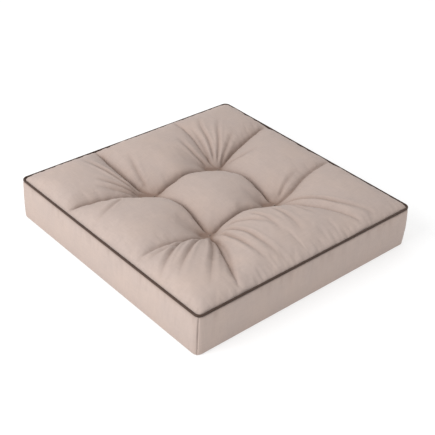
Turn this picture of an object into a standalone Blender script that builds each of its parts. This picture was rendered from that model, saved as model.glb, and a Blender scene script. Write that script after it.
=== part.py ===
"""Square floor cushion: a boxed, piped and tufted cover over a foam core and fibre, with a zip in its rear wall.

Metres, +Z up. The origin is on the floor under the middle of the cushion. The zip is in the wall at +Y.
Every soft piece is drawn at rest, as the cushion lies on the floor.
"""

import math

import bmesh
import bpy
from mathutils import Matrix, Vector

# Driving sizes of the cover.
SIDE = 0.600
WALL_HEIGHT = 0.092
CORNER_RADIUS = 0.014
CROWN = 0.029
FABRIC = 0.0012
SEAM_ALLOWANCE = 0.010

# The piping: a cord in a folded bias strip, whose two edges hang down into the seam.
PIPING_DIAMETER = 0.0050
PIPING_FABRIC = 0.0005
PIPING_SLIT = 0.0004
PIPING_OVERHANG = 0.0002

# The four tufts, and the twine and button that hold each.
TUFT_SPACING = 0.186
TUFT_DEPTH = 0.021
TUFT_SPREAD = 0.030
TUFT_SPOT = 0.0085
UNDERSIDE_DIMPLE = 0.0085
UNDERSIDE_DIMPLE_RADIUS = 0.041
TWINE_DIAMETER = 0.0016
TWINE_STRANDS_APART = 0.0060
BUTTON_DIAMETER = 0.022
BUTTON_THICKNESS = 0.0026
BUTTON_DISH = 0.0008
BUTTON_MARGIN = 0.0075

# The filling, from the floor up: a thin underlay, the foam core and a plump fibre topper. The foam fills what the
# two fibre pieces leave, which are thinnest where a tuft squeezes them.
UNDERLAY_AT_TUFT = 0.0041
TOPPER_AT_TUFT = 0.0108
FILLING_CORNER_RADIUS = 0.024

# The zip, which stops short of the rear wall's corners.
ZIP_MARGIN = 0.060
ZIP_HEIGHT = 0.046
ZIP_SLOT = 0.0014
COIL_WIDTH = 0.0026
COIL_THICKNESS = 0.0014
COIL_PITCH = 0.0048
COIL_TOOTH = 0.0011
TAPE_WIDTH = 0.0160
TAPE_THICKNESS = 0.0006
STOP_LENGTH = 0.0030
SLIDER_LENGTH = 0.0130
SLIDER_PLATE = 0.0011
SLIDER_FLANGE = 0.0008
PULL_LENGTH = 0.0240
PULL_WIDTH = 0.0064
PULL_THICKNESS = 0.0012
PULL_BAR = 0.0014
PULL_WINDOW = 0.0052
PULL_ARM = 0.0008

# Clearances.
TOUCHING = 0.0003
FILLING_CLEARANCE = 0.0012
SLIDER_CLEARANCE = 0.0008

# How finely the shapes are drawn. A corner share just under cos 45 keeps a ring's four corner points inside it.
ARC_STEPS = 4
ROUND_SIDES = 10
HOLE_SIDES = 8
CORNER_SHARE = 0.7
EDGE_STEPS = (0.0, 0.006, 0.018, 0.042)
CUTTER_REACH = 0.010

HALF = SIDE / 2
TUFT = TUFT_SPACING / 2
SEAM_HEIGHT = WALL_HEIGHT + TOUCHING + PIPING_DIAMETER / 2
PIPING_PLY = PIPING_SLIT / 2 + PIPING_FABRIC
PLY_INSET = 2 * FABRIC + TOUCHING + PIPING_PLY
PIPING_INSET = PLY_INSET + PIPING_PLY + PIPING_OVERHANG - PIPING_DIAMETER / 2
PANEL_INSET = PIPING_INSET + PIPING_DIAMETER / 2 + TOUCHING
UNDERSIDE_SPOT = BUTTON_DIAMETER / 2 + BUTTON_MARGIN
UNDERLAY_TOP = UNDERSIDE_DIMPLE + FABRIC + FILLING_CLEARANCE + UNDERLAY_AT_TUFT
TOPPER_BASE = SEAM_HEIGHT - TUFT_DEPTH - FABRIC - FILLING_CLEARANCE - TOPPER_AT_TUFT
ZIP_LENGTH = SIDE - 2 * ZIP_MARGIN
SLIDER_WIDTH = ZIP_SLOT + 2 * (COIL_WIDTH + TOUCHING + SLIDER_FLANGE)
ZIP_OPENING = SLIDER_WIDTH + 2 * SLIDER_CLEARANCE
TUFT_PLACES = [(-TUFT, -TUFT), (TUFT, -TUFT), (TUFT, TUFT), (-TUFT, TUFT)]
HOLE_RADIUS = (TWINE_DIAMETER / 2 + TOUCHING) / math.cos(math.pi / HOLE_SIDES)
TAPE_DEPTH = 2 * FABRIC + TOUCHING
COIL_DEPTH = TAPE_DEPTH - TOUCHING - COIL_THICKNESS
BAR_DEPTH = COIL_DEPTH - TOUCHING - SLIDER_PLATE - TOUCHING - PULL_BAR / 2

COLOURS = {
    "fabric": ((0.545, 0.430, 0.365), 0.90, 0.0),
    "piping": ((0.080, 0.045, 0.032), 0.85, 0.0),
    "cord": ((0.75, 0.72, 0.66), 0.90, 0.0),
    "foam": ((0.86, 0.82, 0.62), 0.95, 0.0),
    "fibre": ((0.90, 0.90, 0.88), 0.98, 0.0),
    "twine": ((0.42, 0.33, 0.28), 0.80, 0.0),
    "button": ((0.40, 0.31, 0.26), 0.55, 0.0),
    "tape": ((0.45, 0.35, 0.29), 0.85, 0.0),
    "coil": ((0.36, 0.28, 0.23), 0.40, 0.0),
    "metal": ((0.50, 0.45, 0.38), 0.35, 1.0),
}


# ---------------------------------------------------------------- helpers


def clear_scene():
    for item in list(bpy.data.objects):
        bpy.data.objects.remove(item, do_unlink=True)


def make_collection(name):
    made = bpy.data.collections.new(name)
    bpy.context.scene.collection.children.link(made)
    return made


def make_material(name):
    colour, roughness, metallic = COLOURS[name]
    made = bpy.data.materials.new(name)
    made.use_nodes = True
    shader = made.node_tree.nodes["Principled BSDF"]
    shader.inputs["Base Color"].default_value = (*colour, 1)
    shader.inputs["Roughness"].default_value = roughness
    shader.inputs["Metallic"].default_value = metallic
    made.diffuse_color = (*colour, 1)
    return made


def place(item, material=None, parent=None):
    """Moves an object from wherever its operator left it to the cushion's collection."""
    for other in list(item.users_collection):
        other.objects.unlink(item)
    CUSHION.objects.link(item)
    if material:
        item.data.materials.clear()
        item.data.materials.append(MATERIALS[material])
    if parent:
        item.parent = parent
        item.matrix_parent_inverse = Matrix.Translation(-parent.location)
    return item


def as_mesh(item, name):
    """The object, which may be a curve or hold modifiers, as a plain welded mesh object."""
    bpy.context.view_layer.update()
    graph = bpy.context.evaluated_depsgraph_get()
    mesh = bpy.data.meshes.new_from_object(item.evaluated_get(graph))
    mesh.transform(item.matrix_world)
    bpy.data.objects.remove(item, do_unlink=True)
    welded = bmesh.new()
    welded.from_mesh(mesh)
    bmesh.ops.remove_doubles(welded, verts=welded.verts, dist=1e-6)
    welded.to_mesh(mesh)
    welded.free()
    made = bpy.data.objects.new(name, mesh)
    bpy.context.scene.collection.objects.link(made)
    return made


def boolean(target, tool, operation):
    """Joins the tool to the target or cuts it out, applies the result and removes the tool."""
    step = target.modifiers.new(operation.lower(), "BOOLEAN")
    step.operation = operation
    step.object = tool
    name = target.name
    target.name = name + "_before"
    made = as_mesh(target, name)
    bpy.data.objects.remove(tool, do_unlink=True)
    return made


def joined(pieces):
    whole = pieces[0]
    for piece in pieces[1:]:
        whole = boolean(whole, piece, "UNION")
    return whole


def poly_curve(name, points, dimensions, cyclic=True):
    curve = bpy.data.curves.new(name, "CURVE")
    curve.dimensions = dimensions
    spline = curve.splines.new("POLY")
    spline.points.add(len(points) - 1)
    for point, where in zip(spline.points, points):
        point.co = (*where, *[0.0] * (3 - len(where)), 1)
    spline.use_cyclic_u = cyclic
    made = bpy.data.objects.new(name, curve)
    bpy.context.scene.collection.objects.link(made)
    return made


def extruded(name, outline, low, high):
    """A flat outline in plan, as a mesh that stands from low to high."""
    made = poly_curve(name + "_outline", outline, "2D")
    made.data.fill_mode = "BOTH"
    made.data.extrude = (high - low) / 2
    made.location.z = (low + high) / 2
    return as_mesh(made, name)


def block(name, low, high):
    """A box between two corners."""
    low, high = Vector(low), Vector(high)
    bpy.ops.mesh.primitive_cube_add(size=1, location=(low + high) / 2)
    made = bpy.context.object
    made.name = name
    made.scale = high - low
    bpy.ops.object.transform_apply(location=True, rotation=True, scale=True)
    return made


def rod(name, radius, low, high, centre, axis="Z", sides=ROUND_SIDES):
    """A round bar along one axis, from low to high on it."""
    turn = {"Z": (0, 0, 0), "Y": (math.pi / 2, 0, 0), "X": (0, math.pi / 2, 0)}[axis]
    where = Vector(centre)
    where["XYZ".index(axis)] = (low + high) / 2
    bpy.ops.mesh.primitive_cylinder_add(
        vertices=sides, radius=radius, depth=high - low, location=where, rotation=turn
    )
    made = bpy.context.object
    made.name = name
    bpy.ops.object.transform_apply(location=True, rotation=True, scale=True)
    return made


def arc(centre, radius, start, end, steps=ARC_STEPS):
    """Points on an arc, angles in degrees, both ends included."""
    angles = [math.radians(start + (end - start) * i / steps) for i in range(steps + 1)]
    return [(centre[0] + radius * math.cos(a), centre[1] + radius * math.sin(a)) for a in angles]


def rounded_square(inset, radius):
    """The plan outline a distance inside the cushion's outer wall, with its own corner radius."""
    reach = HALF - inset - radius
    corners = [(reach, -reach, -90), (reach, reach, 0), (-reach, reach, 90), (-reach, -reach, 180)]
    return [p for x, y, start in corners for p in arc((x, y), radius, start, start + 90)]


# ---------------------------------------------------------------- tufted sheets


def sheet_lines(half):
    """Grid lines across a sheet, close together round the tufts and at the edges."""
    rings = (TUFT_SPOT, UNDERSIDE_SPOT, UNDERSIDE_DIMPLE_RADIUS)
    near_tuft = [side * ring * CORNER_SHARE for ring in rings for side in (-1, 1)]
    inner = [TUFT + step for step in (0.0, *near_tuft)]
    near_edge = [half - step for step in EDGE_STEPS]
    right = sorted([TUFT * 0.3, *inner, (inner[-1] + near_edge[-1]) / 2, *near_edge])
    return [-x for x in reversed(right)] + right


def pillow(t):
    """The rise across one pillow, from 0 at its edges to 1 in its middle, for t from 0 to 1."""
    return max(0.0, 4 * t * (1 - t)) ** 0.62


def pillow_row(x, half):
    """The same across the row of three pillows that the two lines of tufts divide the sheet into."""
    if abs(x) <= TUFT:
        return pillow((x + TUFT) / (2 * TUFT))
    return pillow((abs(x) - TUFT) / (half - TUFT))


def crowned(x, y, half):
    """Height of the tufted top above its seam, level under each loop of twine."""
    beyond = min(math.hypot(x - a, y - b) for a, b in TUFT_PLACES) - TUFT_SPOT
    if beyond < 0:
        return -TUFT_DEPTH
    rise = CROWN * pillow_row(x, half) * pillow_row(y, half)
    return rise - TUFT_DEPTH * math.exp(-beyond / TUFT_SPREAD)


def dimpled(x, y):
    """Height of the underside above the floor, 0 except round the four buttons."""
    beyond = min(math.hypot(x - a, y - b) for a, b in TUFT_PLACES) - UNDERSIDE_SPOT
    share = min(1.0, max(0.0, beyond / (UNDERSIDE_DIMPLE_RADIUS - UNDERSIDE_SPOT)))
    return UNDERSIDE_DIMPLE * (1 - share * share * (3 - 2 * share))


def grid_sheet(name, half, radius, height):
    """A square sheet with rounded corners, a grid whose points stand at height(x, y)."""
    lines = sheet_lines(half)
    cells = len(lines) - 1
    bpy.ops.mesh.primitive_grid_add(x_subdivisions=cells, y_subdivisions=cells, size=2)
    made = bpy.context.object
    made.name = name
    corner = half - radius
    for vertex in made.data.vertices:
        column, row = (round((c + 1) / 2 * cells) for c in vertex.co.xy)
        x, y = lines[column], lines[row]
        beyond = Vector((max(0, abs(x) - corner), max(0, abs(y) - corner)))
        if beyond.x and beyond.y:
            beyond = beyond.normalized() * max(beyond)
            x, y = math.copysign(corner + beyond.x, x), math.copysign(corner + beyond.y, y)
        vertex.co = (x, y, height(x, y))
    return made


def hem(item, distance):
    """Turns a sheet's edge straight down (or up, if distance is positive) as a seam allowance."""
    sheet = bmesh.new()
    sheet.from_mesh(item.data)
    rim = [edge for edge in sheet.edges if edge.is_boundary]
    made = bmesh.ops.extrude_edge_only(sheet, edges=rim)["geom"]
    moved = [part for part in made if isinstance(part, bmesh.types.BMVert)]
    bmesh.ops.translate(sheet, verts=moved, vec=(0, 0, distance))
    sheet.to_mesh(item.data)
    sheet.free()


def thicken(item, thickness, side):
    """Gives a sheet its thickness: side -1 keeps its upper face where it is, 1 its lower."""
    shell = item.modifiers.new("thickness", "SOLIDIFY")
    shell.thickness = thickness
    shell.offset = side
    shell.use_even_offset = True
    return as_mesh(item, item.name)


def pad(name, half, radius, height, away, flat):
    """A filling piece between a shaped face, moved away from the cover along its normals, and a flat one."""
    item = grid_sheet(name + "_face", half, radius, height)
    mesh = bmesh.new()
    mesh.from_mesh(item.data)
    mesh.normal_update()
    moves = [(vertex, vertex.normal * away) for vertex in mesh.verts]
    for vertex, move in moves:
        vertex.co += move
    rim = [edge for edge in mesh.edges if edge.is_boundary]
    made = bmesh.ops.extrude_edge_only(mesh, edges=rim)["geom"]
    for part in made:
        if isinstance(part, bmesh.types.BMVert):
            part.co.z = flat
    loop = [edge for edge in mesh.edges if edge.is_boundary]
    bmesh.ops.contextual_create(mesh, geom=loop)
    bmesh.ops.recalc_face_normals(mesh, faces=mesh.faces)
    mesh.to_mesh(item.data)
    mesh.free()
    return as_mesh(item, name)


def pierce(item, low, high, places=TUFT_PLACES):
    """Cuts the two strand holes of each tuft through a piece."""
    for x, y in places:
        for side in (-1, 1):
            across = x + side * TWINE_STRANDS_APART / 2
            hole = rod("hole", HOLE_RADIUS, low, high, (across, y, 0), sides=HOLE_SIDES)
            item = boolean(item, hole, "DIFFERENCE")
    return item


# ---------------------------------------------------------------- the cover


def make_top_panel():
    half = HALF - PANEL_INSET
    radius = CORNER_RADIUS - PANEL_INSET / 2
    panel = grid_sheet("top_panel", half, radius, lambda x, y: SEAM_HEIGHT + crowned(x, y, half))
    hem(panel, -(SEAM_ALLOWANCE + SEAM_HEIGHT - WALL_HEIGHT))
    panel = thicken(panel, FABRIC, -1)
    floor = SEAM_HEIGHT - TUFT_DEPTH
    return place(pierce(panel, floor - CUTTER_REACH, floor + CUTTER_REACH), "fabric")


def make_bottom_panel():
    half = HALF - 2 * FABRIC - TOUCHING
    panel = grid_sheet("bottom_panel", half, CORNER_RADIUS - 2 * FABRIC, dimpled)
    hem(panel, SEAM_ALLOWANCE)
    panel = thicken(panel, FABRIC, 1)
    return place(pierce(panel, 0, UNDERSIDE_DIMPLE + CUTTER_REACH), "fabric")


def wall_outline(outer, inner, short):
    """Plan outline of one wall between two depths, round each corner to a distance short of its seam."""
    reach = HALF - CORNER_RADIUS
    stop = math.degrees(short / (CORNER_RADIUS - inner))
    start, end = -135 + stop, -45 - stop
    return (
        arc((-reach, -reach), CORNER_RADIUS - outer, start, -90)
        + arc((reach, -reach), CORNER_RADIUS - outer, -90, end)
        + arc((reach, -reach), CORNER_RADIUS - inner, end, -90)
        + arc((-reach, -reach), CORNER_RADIUS - inner, -90, start)
    )


def corner_flange(side, low, high):
    """The seam allowance that a wall turns inwards along the diagonal at one corner."""
    depth = SEAM_ALLOWANCE
    flange = block("flange", (-depth, TOUCHING / 2, low), (0.0, TOUCHING / 2 + FABRIC, high))
    flange.data.transform(Matrix.Translation((CORNER_RADIUS - FABRIC / 2, 0, 0)))
    flange.data.transform(Matrix.Diagonal((1, -1, 1, 1)))
    flange.data.transform(Matrix.Rotation(math.radians(-45), 4, "Z"))
    reach = HALF - CORNER_RADIUS
    flange.data.transform(Matrix.Translation((reach, -reach, 0)))
    if side < 0:
        flange.data.transform(Matrix.Diagonal((-1, 1, 1, 1)))
    else:
        flange.data.flip_normals()
    return flange


def make_wall(name, turn, low, high, folds):
    """One boxing strip: a wall with its seam allowances folded in behind each level in folds."""
    pieces = [extruded(name, wall_outline(0, FABRIC, TOUCHING / 2), low, high)]
    fold = wall_outline(FABRIC * 3 / 4, 2 * FABRIC, FABRIC)
    for fold_low, fold_high in folds:
        pieces.append(extruded("fold", fold, fold_low + TOUCHING, fold_high - TOUCHING))
    clear = SEAM_ALLOWANCE + FABRIC + TOUCHING
    for side in (-1, 1):
        pieces.append(corner_flange(side, low + clear, high - clear))
    wall = joined(pieces)
    wall.name = name
    wall.rotation_euler.z = math.radians(turn)
    return place(wall, "fabric")


def make_walls():
    bottom_fold = (0, SEAM_ALLOWANCE)
    top_fold = (WALL_HEIGHT - SEAM_ALLOWANCE, WALL_HEIGHT)
    for name, turn in (("front_wall", 0), ("right_wall", 90), ("left_wall", -90)):
        make_wall(name, turn, 0, WALL_HEIGHT, [bottom_fold, top_fold])
    lower_edge, upper_edge = ZIP_HEIGHT - ZIP_OPENING / 2, ZIP_HEIGHT + ZIP_OPENING / 2
    lower_hem = (lower_edge - SEAM_ALLOWANCE, lower_edge)
    upper_hem = (upper_edge, upper_edge + SEAM_ALLOWANCE)
    make_wall("rear_wall_lower", 180, 0, lower_edge, [bottom_fold, lower_hem])
    make_wall("rear_wall_upper", 180, upper_edge, WALL_HEIGHT, [upper_hem, top_fold])


# ---------------------------------------------------------------- the piping


def piping_section():
    """Section of the folded strip, its x outwards: a ring open below, whose two plies hang down into the seam."""
    outer, inner = PIPING_DIAMETER / 2, PIPING_DIAMETER / 2 - PIPING_FABRIC
    slit, ply = PIPING_SLIT / 2, PIPING_PLY
    middle = PIPING_INSET - PLY_INSET
    low = -(SEAM_ALLOWANCE + outer)

    def angle(across, radius):
        """How far round the ring, from its outward side, the ring is this far across."""
        return math.degrees(math.acos(across / radius))

    inside = arc((0, 0), inner, -angle(middle + slit, inner), 360 - angle(middle - slit, inner), 14)
    outside = arc((0, 0), outer, 360 - angle(middle - ply, outer), -angle(middle + ply, outer), 16)
    inward_ply = [(middle - slit, low), (middle - ply, low)]
    outward_ply = [(middle + ply, low), (middle + slit, low)]
    return inside + inward_ply + outside + outward_ply


def make_piping():
    path = [(x, y, 0) for x, y in rounded_square(PIPING_INSET, CORNER_RADIUS - PIPING_INSET)]
    section = poly_curve("piping_section", piping_section(), "2D")
    cover = poly_curve("piping_cover", path, "3D")
    cover.data.twist_mode = "Z_UP"
    cover.data.bevel_mode = "OBJECT"
    cover.data.bevel_object = section
    cover.location.z = SEAM_HEIGHT
    place(as_mesh(cover, "piping_cover"), "piping")
    bpy.data.objects.remove(section, do_unlink=True)

    cord = poly_curve("piping_cord", path, "3D")
    cord.data.bevel_depth = PIPING_DIAMETER / 2 - PIPING_FABRIC - TOUCHING
    cord.data.bevel_resolution = 2
    cord.location.z = SEAM_HEIGHT
    place(as_mesh(cord, "piping_cord"), "cord")


# ---------------------------------------------------------------- the filling


def make_filling():
    inset = PANEL_INSET + FABRIC + FILLING_CLEARANCE
    half = HALF - inset
    away = FABRIC + FILLING_CLEARANCE

    def under_top_panel(x, y):
        return SEAM_HEIGHT + crowned(x, y, half)

    topper = pad("fibre_topper", half, FILLING_CORNER_RADIUS, under_top_panel, -away, TOPPER_BASE)
    place(pierce(topper, TOPPER_BASE - CUTTER_REACH, SEAM_HEIGHT), "fibre")

    underlay = pad("fibre_underlay", half, FILLING_CORNER_RADIUS, dimpled, away, UNDERLAY_TOP)
    place(pierce(underlay, 0, UNDERLAY_TOP + CUTTER_REACH), "fibre")

    outline = rounded_square(inset, FILLING_CORNER_RADIUS)
    foam = extruded("foam_core", outline, UNDERLAY_TOP + TOUCHING, TOPPER_BASE - TOUCHING)
    place(pierce(foam, 0, SEAM_HEIGHT), "foam")


# ---------------------------------------------------------------- the tufts


def button_levels():
    """The lowest and highest level of a button, under the dimpled bottom panel."""
    high = UNDERSIDE_DIMPLE - TOUCHING
    return high - BUTTON_THICKNESS, high


def twine_loop(x, y):
    """Closed path of one loop of twine, over the tuft and under its button, with rounded turns."""
    radius = TWINE_DIAMETER / 2
    half_width = TWINE_STRANDS_APART / 2
    high = SEAM_HEIGHT - TUFT_DEPTH + TOUCHING + radius
    low = button_levels()[0] - TOUCHING - radius
    bend = TWINE_DIAMETER
    corners = [
        (half_width - bend, high - bend, 0),
        (-half_width + bend, high - bend, 90),
        (-half_width + bend, low + bend, 180),
        (half_width - bend, low + bend, 270),
    ]
    return [(x + a, y, b) for u, v, start in corners for a, b in arc((u, v), bend, start, start + 90)]


def make_tufts():
    for number, (x, y) in enumerate(TUFT_PLACES, 1):
        twine = poly_curve(f"tuft_twine_{number}", twine_loop(x, y), "3D")
        twine.data.bevel_depth = TWINE_DIAMETER / 2
        twine.data.bevel_resolution = 2
        place(as_mesh(twine, f"tuft_twine_{number}"), "twine")
        make_button(number, x, y)


def make_button(number, x, y):
    """A round button with two holes, its face dished inside a raised rim, turned from half its section."""
    low, high = button_levels()
    radius, rim = BUTTON_DIAMETER / 2, BUTTON_DIAMETER / 10
    edge = BUTTON_THICKNESS / 4
    profile = [
        (0, high),
        (radius - edge, high),
        (radius, high - edge),
        (radius, low + edge),
        (radius - edge, low),
        (radius - rim, low),
        (radius - 2 * rim, low + BUTTON_DISH),
        (0, low + BUTTON_DISH),
    ]
    name = f"tuft_button_{number}"
    outline = bpy.data.meshes.new(name)
    points = [(r, 0, z) for r, z in profile]
    outline.from_pydata(points, [(i, i + 1) for i in range(len(points) - 1)], [])
    button = bpy.data.objects.new(name, outline)
    bpy.context.scene.collection.objects.link(button)
    button.location = (x, y, 0)
    turned = button.modifiers.new("turned", "SCREW")
    turned.steps = turned.render_steps = 2 * ROUND_SIDES
    turned.use_merge_vertices = True
    turned.merge_threshold = 1e-5
    button = as_mesh(button, name)
    place(pierce(button, low - CUTTER_REACH, high + CUTTER_REACH, [(x, y)]), "button")


# ---------------------------------------------------------------- the zip


def rear(x, depth, z):
    """A point at a depth inside the outer face of the rear wall."""
    return (x, HALF - depth, z)


def rear_block(name, x, depth, z):
    """A box on the rear wall, each of x, depth and z a (low, high) pair."""
    return block(name, rear(x[0], depth[1], z[0]), rear(x[1], depth[0], z[1]))


def make_tapes():
    half = HALF - CORNER_RADIUS
    depth = (TAPE_DEPTH, TAPE_DEPTH + TAPE_THICKNESS)
    near, far = ZIP_SLOT / 2, ZIP_SLOT / 2 + TAPE_WIDTH
    place(rear_block("zip_tape_upper", (-half, half), depth, (ZIP_HEIGHT + near, ZIP_HEIGHT + far)), "tape")
    place(rear_block("zip_tape_lower", (-half, half), depth, (ZIP_HEIGHT - far, ZIP_HEIGHT - near)), "tape")


def coil_outline(side):
    """One coil seen from behind the cushion: a strip whose inner edge is a row of teeth."""
    count = int(ZIP_LENGTH / COIL_PITCH)
    start = -count * COIL_PITCH / 2 + side * COIL_PITCH / 4
    near, far = ZIP_SLOT / 2, ZIP_SLOT / 2 + COIL_WIDTH
    points = [(start + count * COIL_PITCH, side * far), (start, side * far)]
    for i in range(count):
        left = start + i * COIL_PITCH
        points += [
            (left, side * (near + COIL_TOOTH)),
            (left + COIL_PITCH * 0.15, side * near),
            (left + COIL_PITCH * 0.55, side * near),
            (left + COIL_PITCH * 0.70, side * (near + COIL_TOOTH)),
        ]
    points.append((start + count * COIL_PITCH, side * (near + COIL_TOOTH)))
    return points


def make_coils():
    for name, side in (("zip_coil_upper", 1), ("zip_coil_lower", -1)):
        coil = poly_curve(name, coil_outline(side), "2D")
        coil.data.fill_mode = "BOTH"
        coil.data.extrude = COIL_THICKNESS / 2
        coil.rotation_euler = (math.pi / 2, 0, 0)
        coil.location = rear(0, COIL_DEPTH + COIL_THICKNESS / 2, ZIP_HEIGHT)
        place(as_mesh(coil, name), "coil")


def make_stops():
    half = ZIP_LENGTH / 2 + COIL_PITCH + TOUCHING
    depth = (COIL_DEPTH, COIL_DEPTH + COIL_THICKNESS)
    near, far = ZIP_SLOT / 2, ZIP_SLOT / 2 + COIL_WIDTH
    closed_end, open_end = (half, half + STOP_LENGTH), (-half - STOP_LENGTH, -half)
    upper, lower = (ZIP_HEIGHT + near, ZIP_HEIGHT + far), (ZIP_HEIGHT - far, ZIP_HEIGHT - near)
    place(rear_block("zip_top_stop_upper", closed_end, depth, upper), "metal")
    place(rear_block("zip_top_stop_lower", closed_end, depth, lower), "metal")
    place(rear_block("zip_bottom_stop", open_end, depth, (lower[0], upper[1])), "metal")


def make_slider():
    """The slider at the zip's closed end: two plates joined by a wedge in the slot, with side flanges."""
    high = ZIP_LENGTH / 2 - TOUCHING
    low = high - SLIDER_LENGTH
    middle = (low + high) / 2
    half_width = SLIDER_WIDTH / 2
    front = COIL_DEPTH - TOUCHING
    back = TAPE_DEPTH + TAPE_THICKNESS + TOUCHING
    overlap = SLIDER_PLATE / 4
    width = (ZIP_HEIGHT - half_width, ZIP_HEIGHT + half_width)
    pieces = [
        rear_block("zip_slider", (low, high), (front - SLIDER_PLATE, front), width),
        rear_block("back_plate", (low, high), (back, back + SLIDER_PLATE), width),
    ]
    wedge = ZIP_SLOT / 2 - TOUCHING
    wedge_length = (high - SLIDER_LENGTH / 3, high - TOUCHING)
    wedge_width = (ZIP_HEIGHT - wedge, ZIP_HEIGHT + wedge)
    pieces.append(rear_block("wedge", wedge_length, (front - overlap, back + overlap), wedge_width))
    flange_depth = (front - overlap, TAPE_DEPTH - TOUCHING)
    for side in (-1, 1):
        edges = sorted(ZIP_HEIGHT + side * w for w in (half_width - SLIDER_FLANGE, half_width))
        pieces.append(rear_block("flange", (low, high), flange_depth, edges))
    pieces += slider_bridge(middle, front - SLIDER_PLATE + overlap)
    slider = joined(pieces)
    slider.name = "zip_slider"
    joint = joint_empty("zip_slider_joint", rear(middle, front, ZIP_HEIGHT))
    place(slider, "metal", joint)
    make_pull(middle, joint)


def slider_bridge(middle, base):
    """The bridge that stands along the front plate and holds the pull's bar."""
    inside = PULL_BAR / 2 + TOUCHING
    wall = SLIDER_FLANGE
    top = BAR_DEPTH - inside
    width = (ZIP_HEIGHT - wall, ZIP_HEIGHT + wall)
    pieces = [rear_block("bridge", (middle - inside - wall, middle + inside + wall), (top - wall, top), width)]
    for side in (-1, 1):
        foot = sorted(middle + side * w for w in (inside, inside + wall))
        pieces.append(rear_block("foot", foot, (top - wall / 2, base), width))
    return pieces


def joint_empty(name, where):
    """An empty on a joint's axis, which the moving piece is parented to."""
    made = bpy.data.objects.new(name, None)
    made.location = where
    CUSHION.objects.link(made)
    return made


def make_pull(middle, slider_joint):
    """The pull lies flat along the zip. Its bar turns under the slider's bridge, along Z."""
    half_width, half_thickness = PULL_WIDTH / 2, PULL_THICKNESS / 2
    depth = (BAR_DEPTH - half_thickness, BAR_DEPTH + half_thickness)
    tip = middle - PULL_LENGTH
    plate = rear_block(
        "zip_pull", (tip, middle - PULL_WINDOW), depth, (ZIP_HEIGHT - half_width, ZIP_HEIGHT + half_width)
    )
    pieces = [plate]
    for side in (-1, 1):
        edges = sorted(ZIP_HEIGHT + side * w for w in (half_width - PULL_ARM, half_width))
        pieces.append(rear_block("arm", (middle - PULL_WINDOW - PULL_ARM, middle), depth, edges))
    bar = rod("bar", PULL_BAR / 2, ZIP_HEIGHT - half_width, ZIP_HEIGHT + half_width, rear(middle, BAR_DEPTH, 0))
    pieces.append(bar)
    pull = joined(pieces)
    pull.name = "zip_pull"
    joint = joint_empty("zip_pull_joint", rear(middle, BAR_DEPTH, ZIP_HEIGHT))
    joint.parent = slider_joint
    joint.matrix_parent_inverse = Matrix.Translation(-slider_joint.location)
    place(pull, "metal")
    pull.parent = joint
    pull.matrix_parent_inverse = Matrix.Translation(-joint.location)


def shade():
    for item in CUSHION.objects:
        if item.type == "MESH":
            item.data.shade_smooth()
            item.data.set_sharp_from_angle(angle=math.radians(35))


clear_scene()
CUSHION = make_collection("floor_cushion")
MATERIALS = {name: make_material(name) for name in COLOURS}
make_top_panel()
make_bottom_panel()
make_walls()
make_piping()
make_filling()
make_tufts()
make_tapes()
make_coils()
make_stops()
make_slider()
shade()
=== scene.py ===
"""Looks of the square floor cushion: tufted cover, piping, filling, twine, buttons and zip, in metres."""

import math

import bmesh
import bpy
import numpy as np
from mathutils import Matrix, Vector, noise


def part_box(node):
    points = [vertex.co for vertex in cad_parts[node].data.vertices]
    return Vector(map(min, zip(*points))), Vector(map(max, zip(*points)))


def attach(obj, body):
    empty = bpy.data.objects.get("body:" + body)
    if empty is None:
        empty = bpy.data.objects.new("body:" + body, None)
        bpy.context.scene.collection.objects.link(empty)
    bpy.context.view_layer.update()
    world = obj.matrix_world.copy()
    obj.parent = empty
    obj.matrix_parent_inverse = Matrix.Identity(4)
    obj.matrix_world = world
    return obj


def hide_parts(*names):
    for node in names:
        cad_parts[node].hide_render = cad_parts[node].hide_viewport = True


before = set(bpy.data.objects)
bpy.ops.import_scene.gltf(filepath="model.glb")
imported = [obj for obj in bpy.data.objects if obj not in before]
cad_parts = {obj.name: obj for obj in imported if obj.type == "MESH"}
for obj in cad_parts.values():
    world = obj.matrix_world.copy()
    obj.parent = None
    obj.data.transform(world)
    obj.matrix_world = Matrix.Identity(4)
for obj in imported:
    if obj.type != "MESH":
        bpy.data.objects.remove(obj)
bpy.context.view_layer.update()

# Sizes read from the frame.
GAP = 0.0003
HALF = -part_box("front_wall")[0].y
WALL_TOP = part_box("front_wall")[1].z
PIPE_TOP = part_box("piping_cover")[1]
PIPE_RADIUS = (PIPE_TOP.z - WALL_TOP - GAP) / 2
SEAM = PIPE_TOP.z - PIPE_RADIUS
PIPE_REACH = PIPE_TOP.x - PIPE_RADIUS
PANEL_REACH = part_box("top_panel")[1].x
BOTTOM_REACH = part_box("bottom_panel")[1].x
BUTTON_LOW, BUTTON_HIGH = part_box("tuft_button_3")
TUFT = (BUTTON_LOW.x + BUTTON_HIGH.x) / 2
TUFTS = [(-TUFT, -TUFT), (TUFT, -TUFT), (TUFT, TUFT), (-TUFT, TUFT)]
TWINE_LOW, TWINE_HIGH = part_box("tuft_twine_3")
TWINE_RADIUS = (TWINE_HIGH.y - TWINE_LOW.y) / 2
TUFT_FLOOR = TWINE_HIGH.z - 2 * TWINE_RADIUS - GAP - SEAM
CROWN_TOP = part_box("top_panel")[1].z - SEAM
ZIP_MIDDLE = (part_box("zip_coil_lower")[0].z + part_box("zip_coil_upper")[1].z) / 2
OPENING_LOW, OPENING_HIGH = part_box("rear_wall_lower")[1].z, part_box("rear_wall_upper")[0].z

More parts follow.
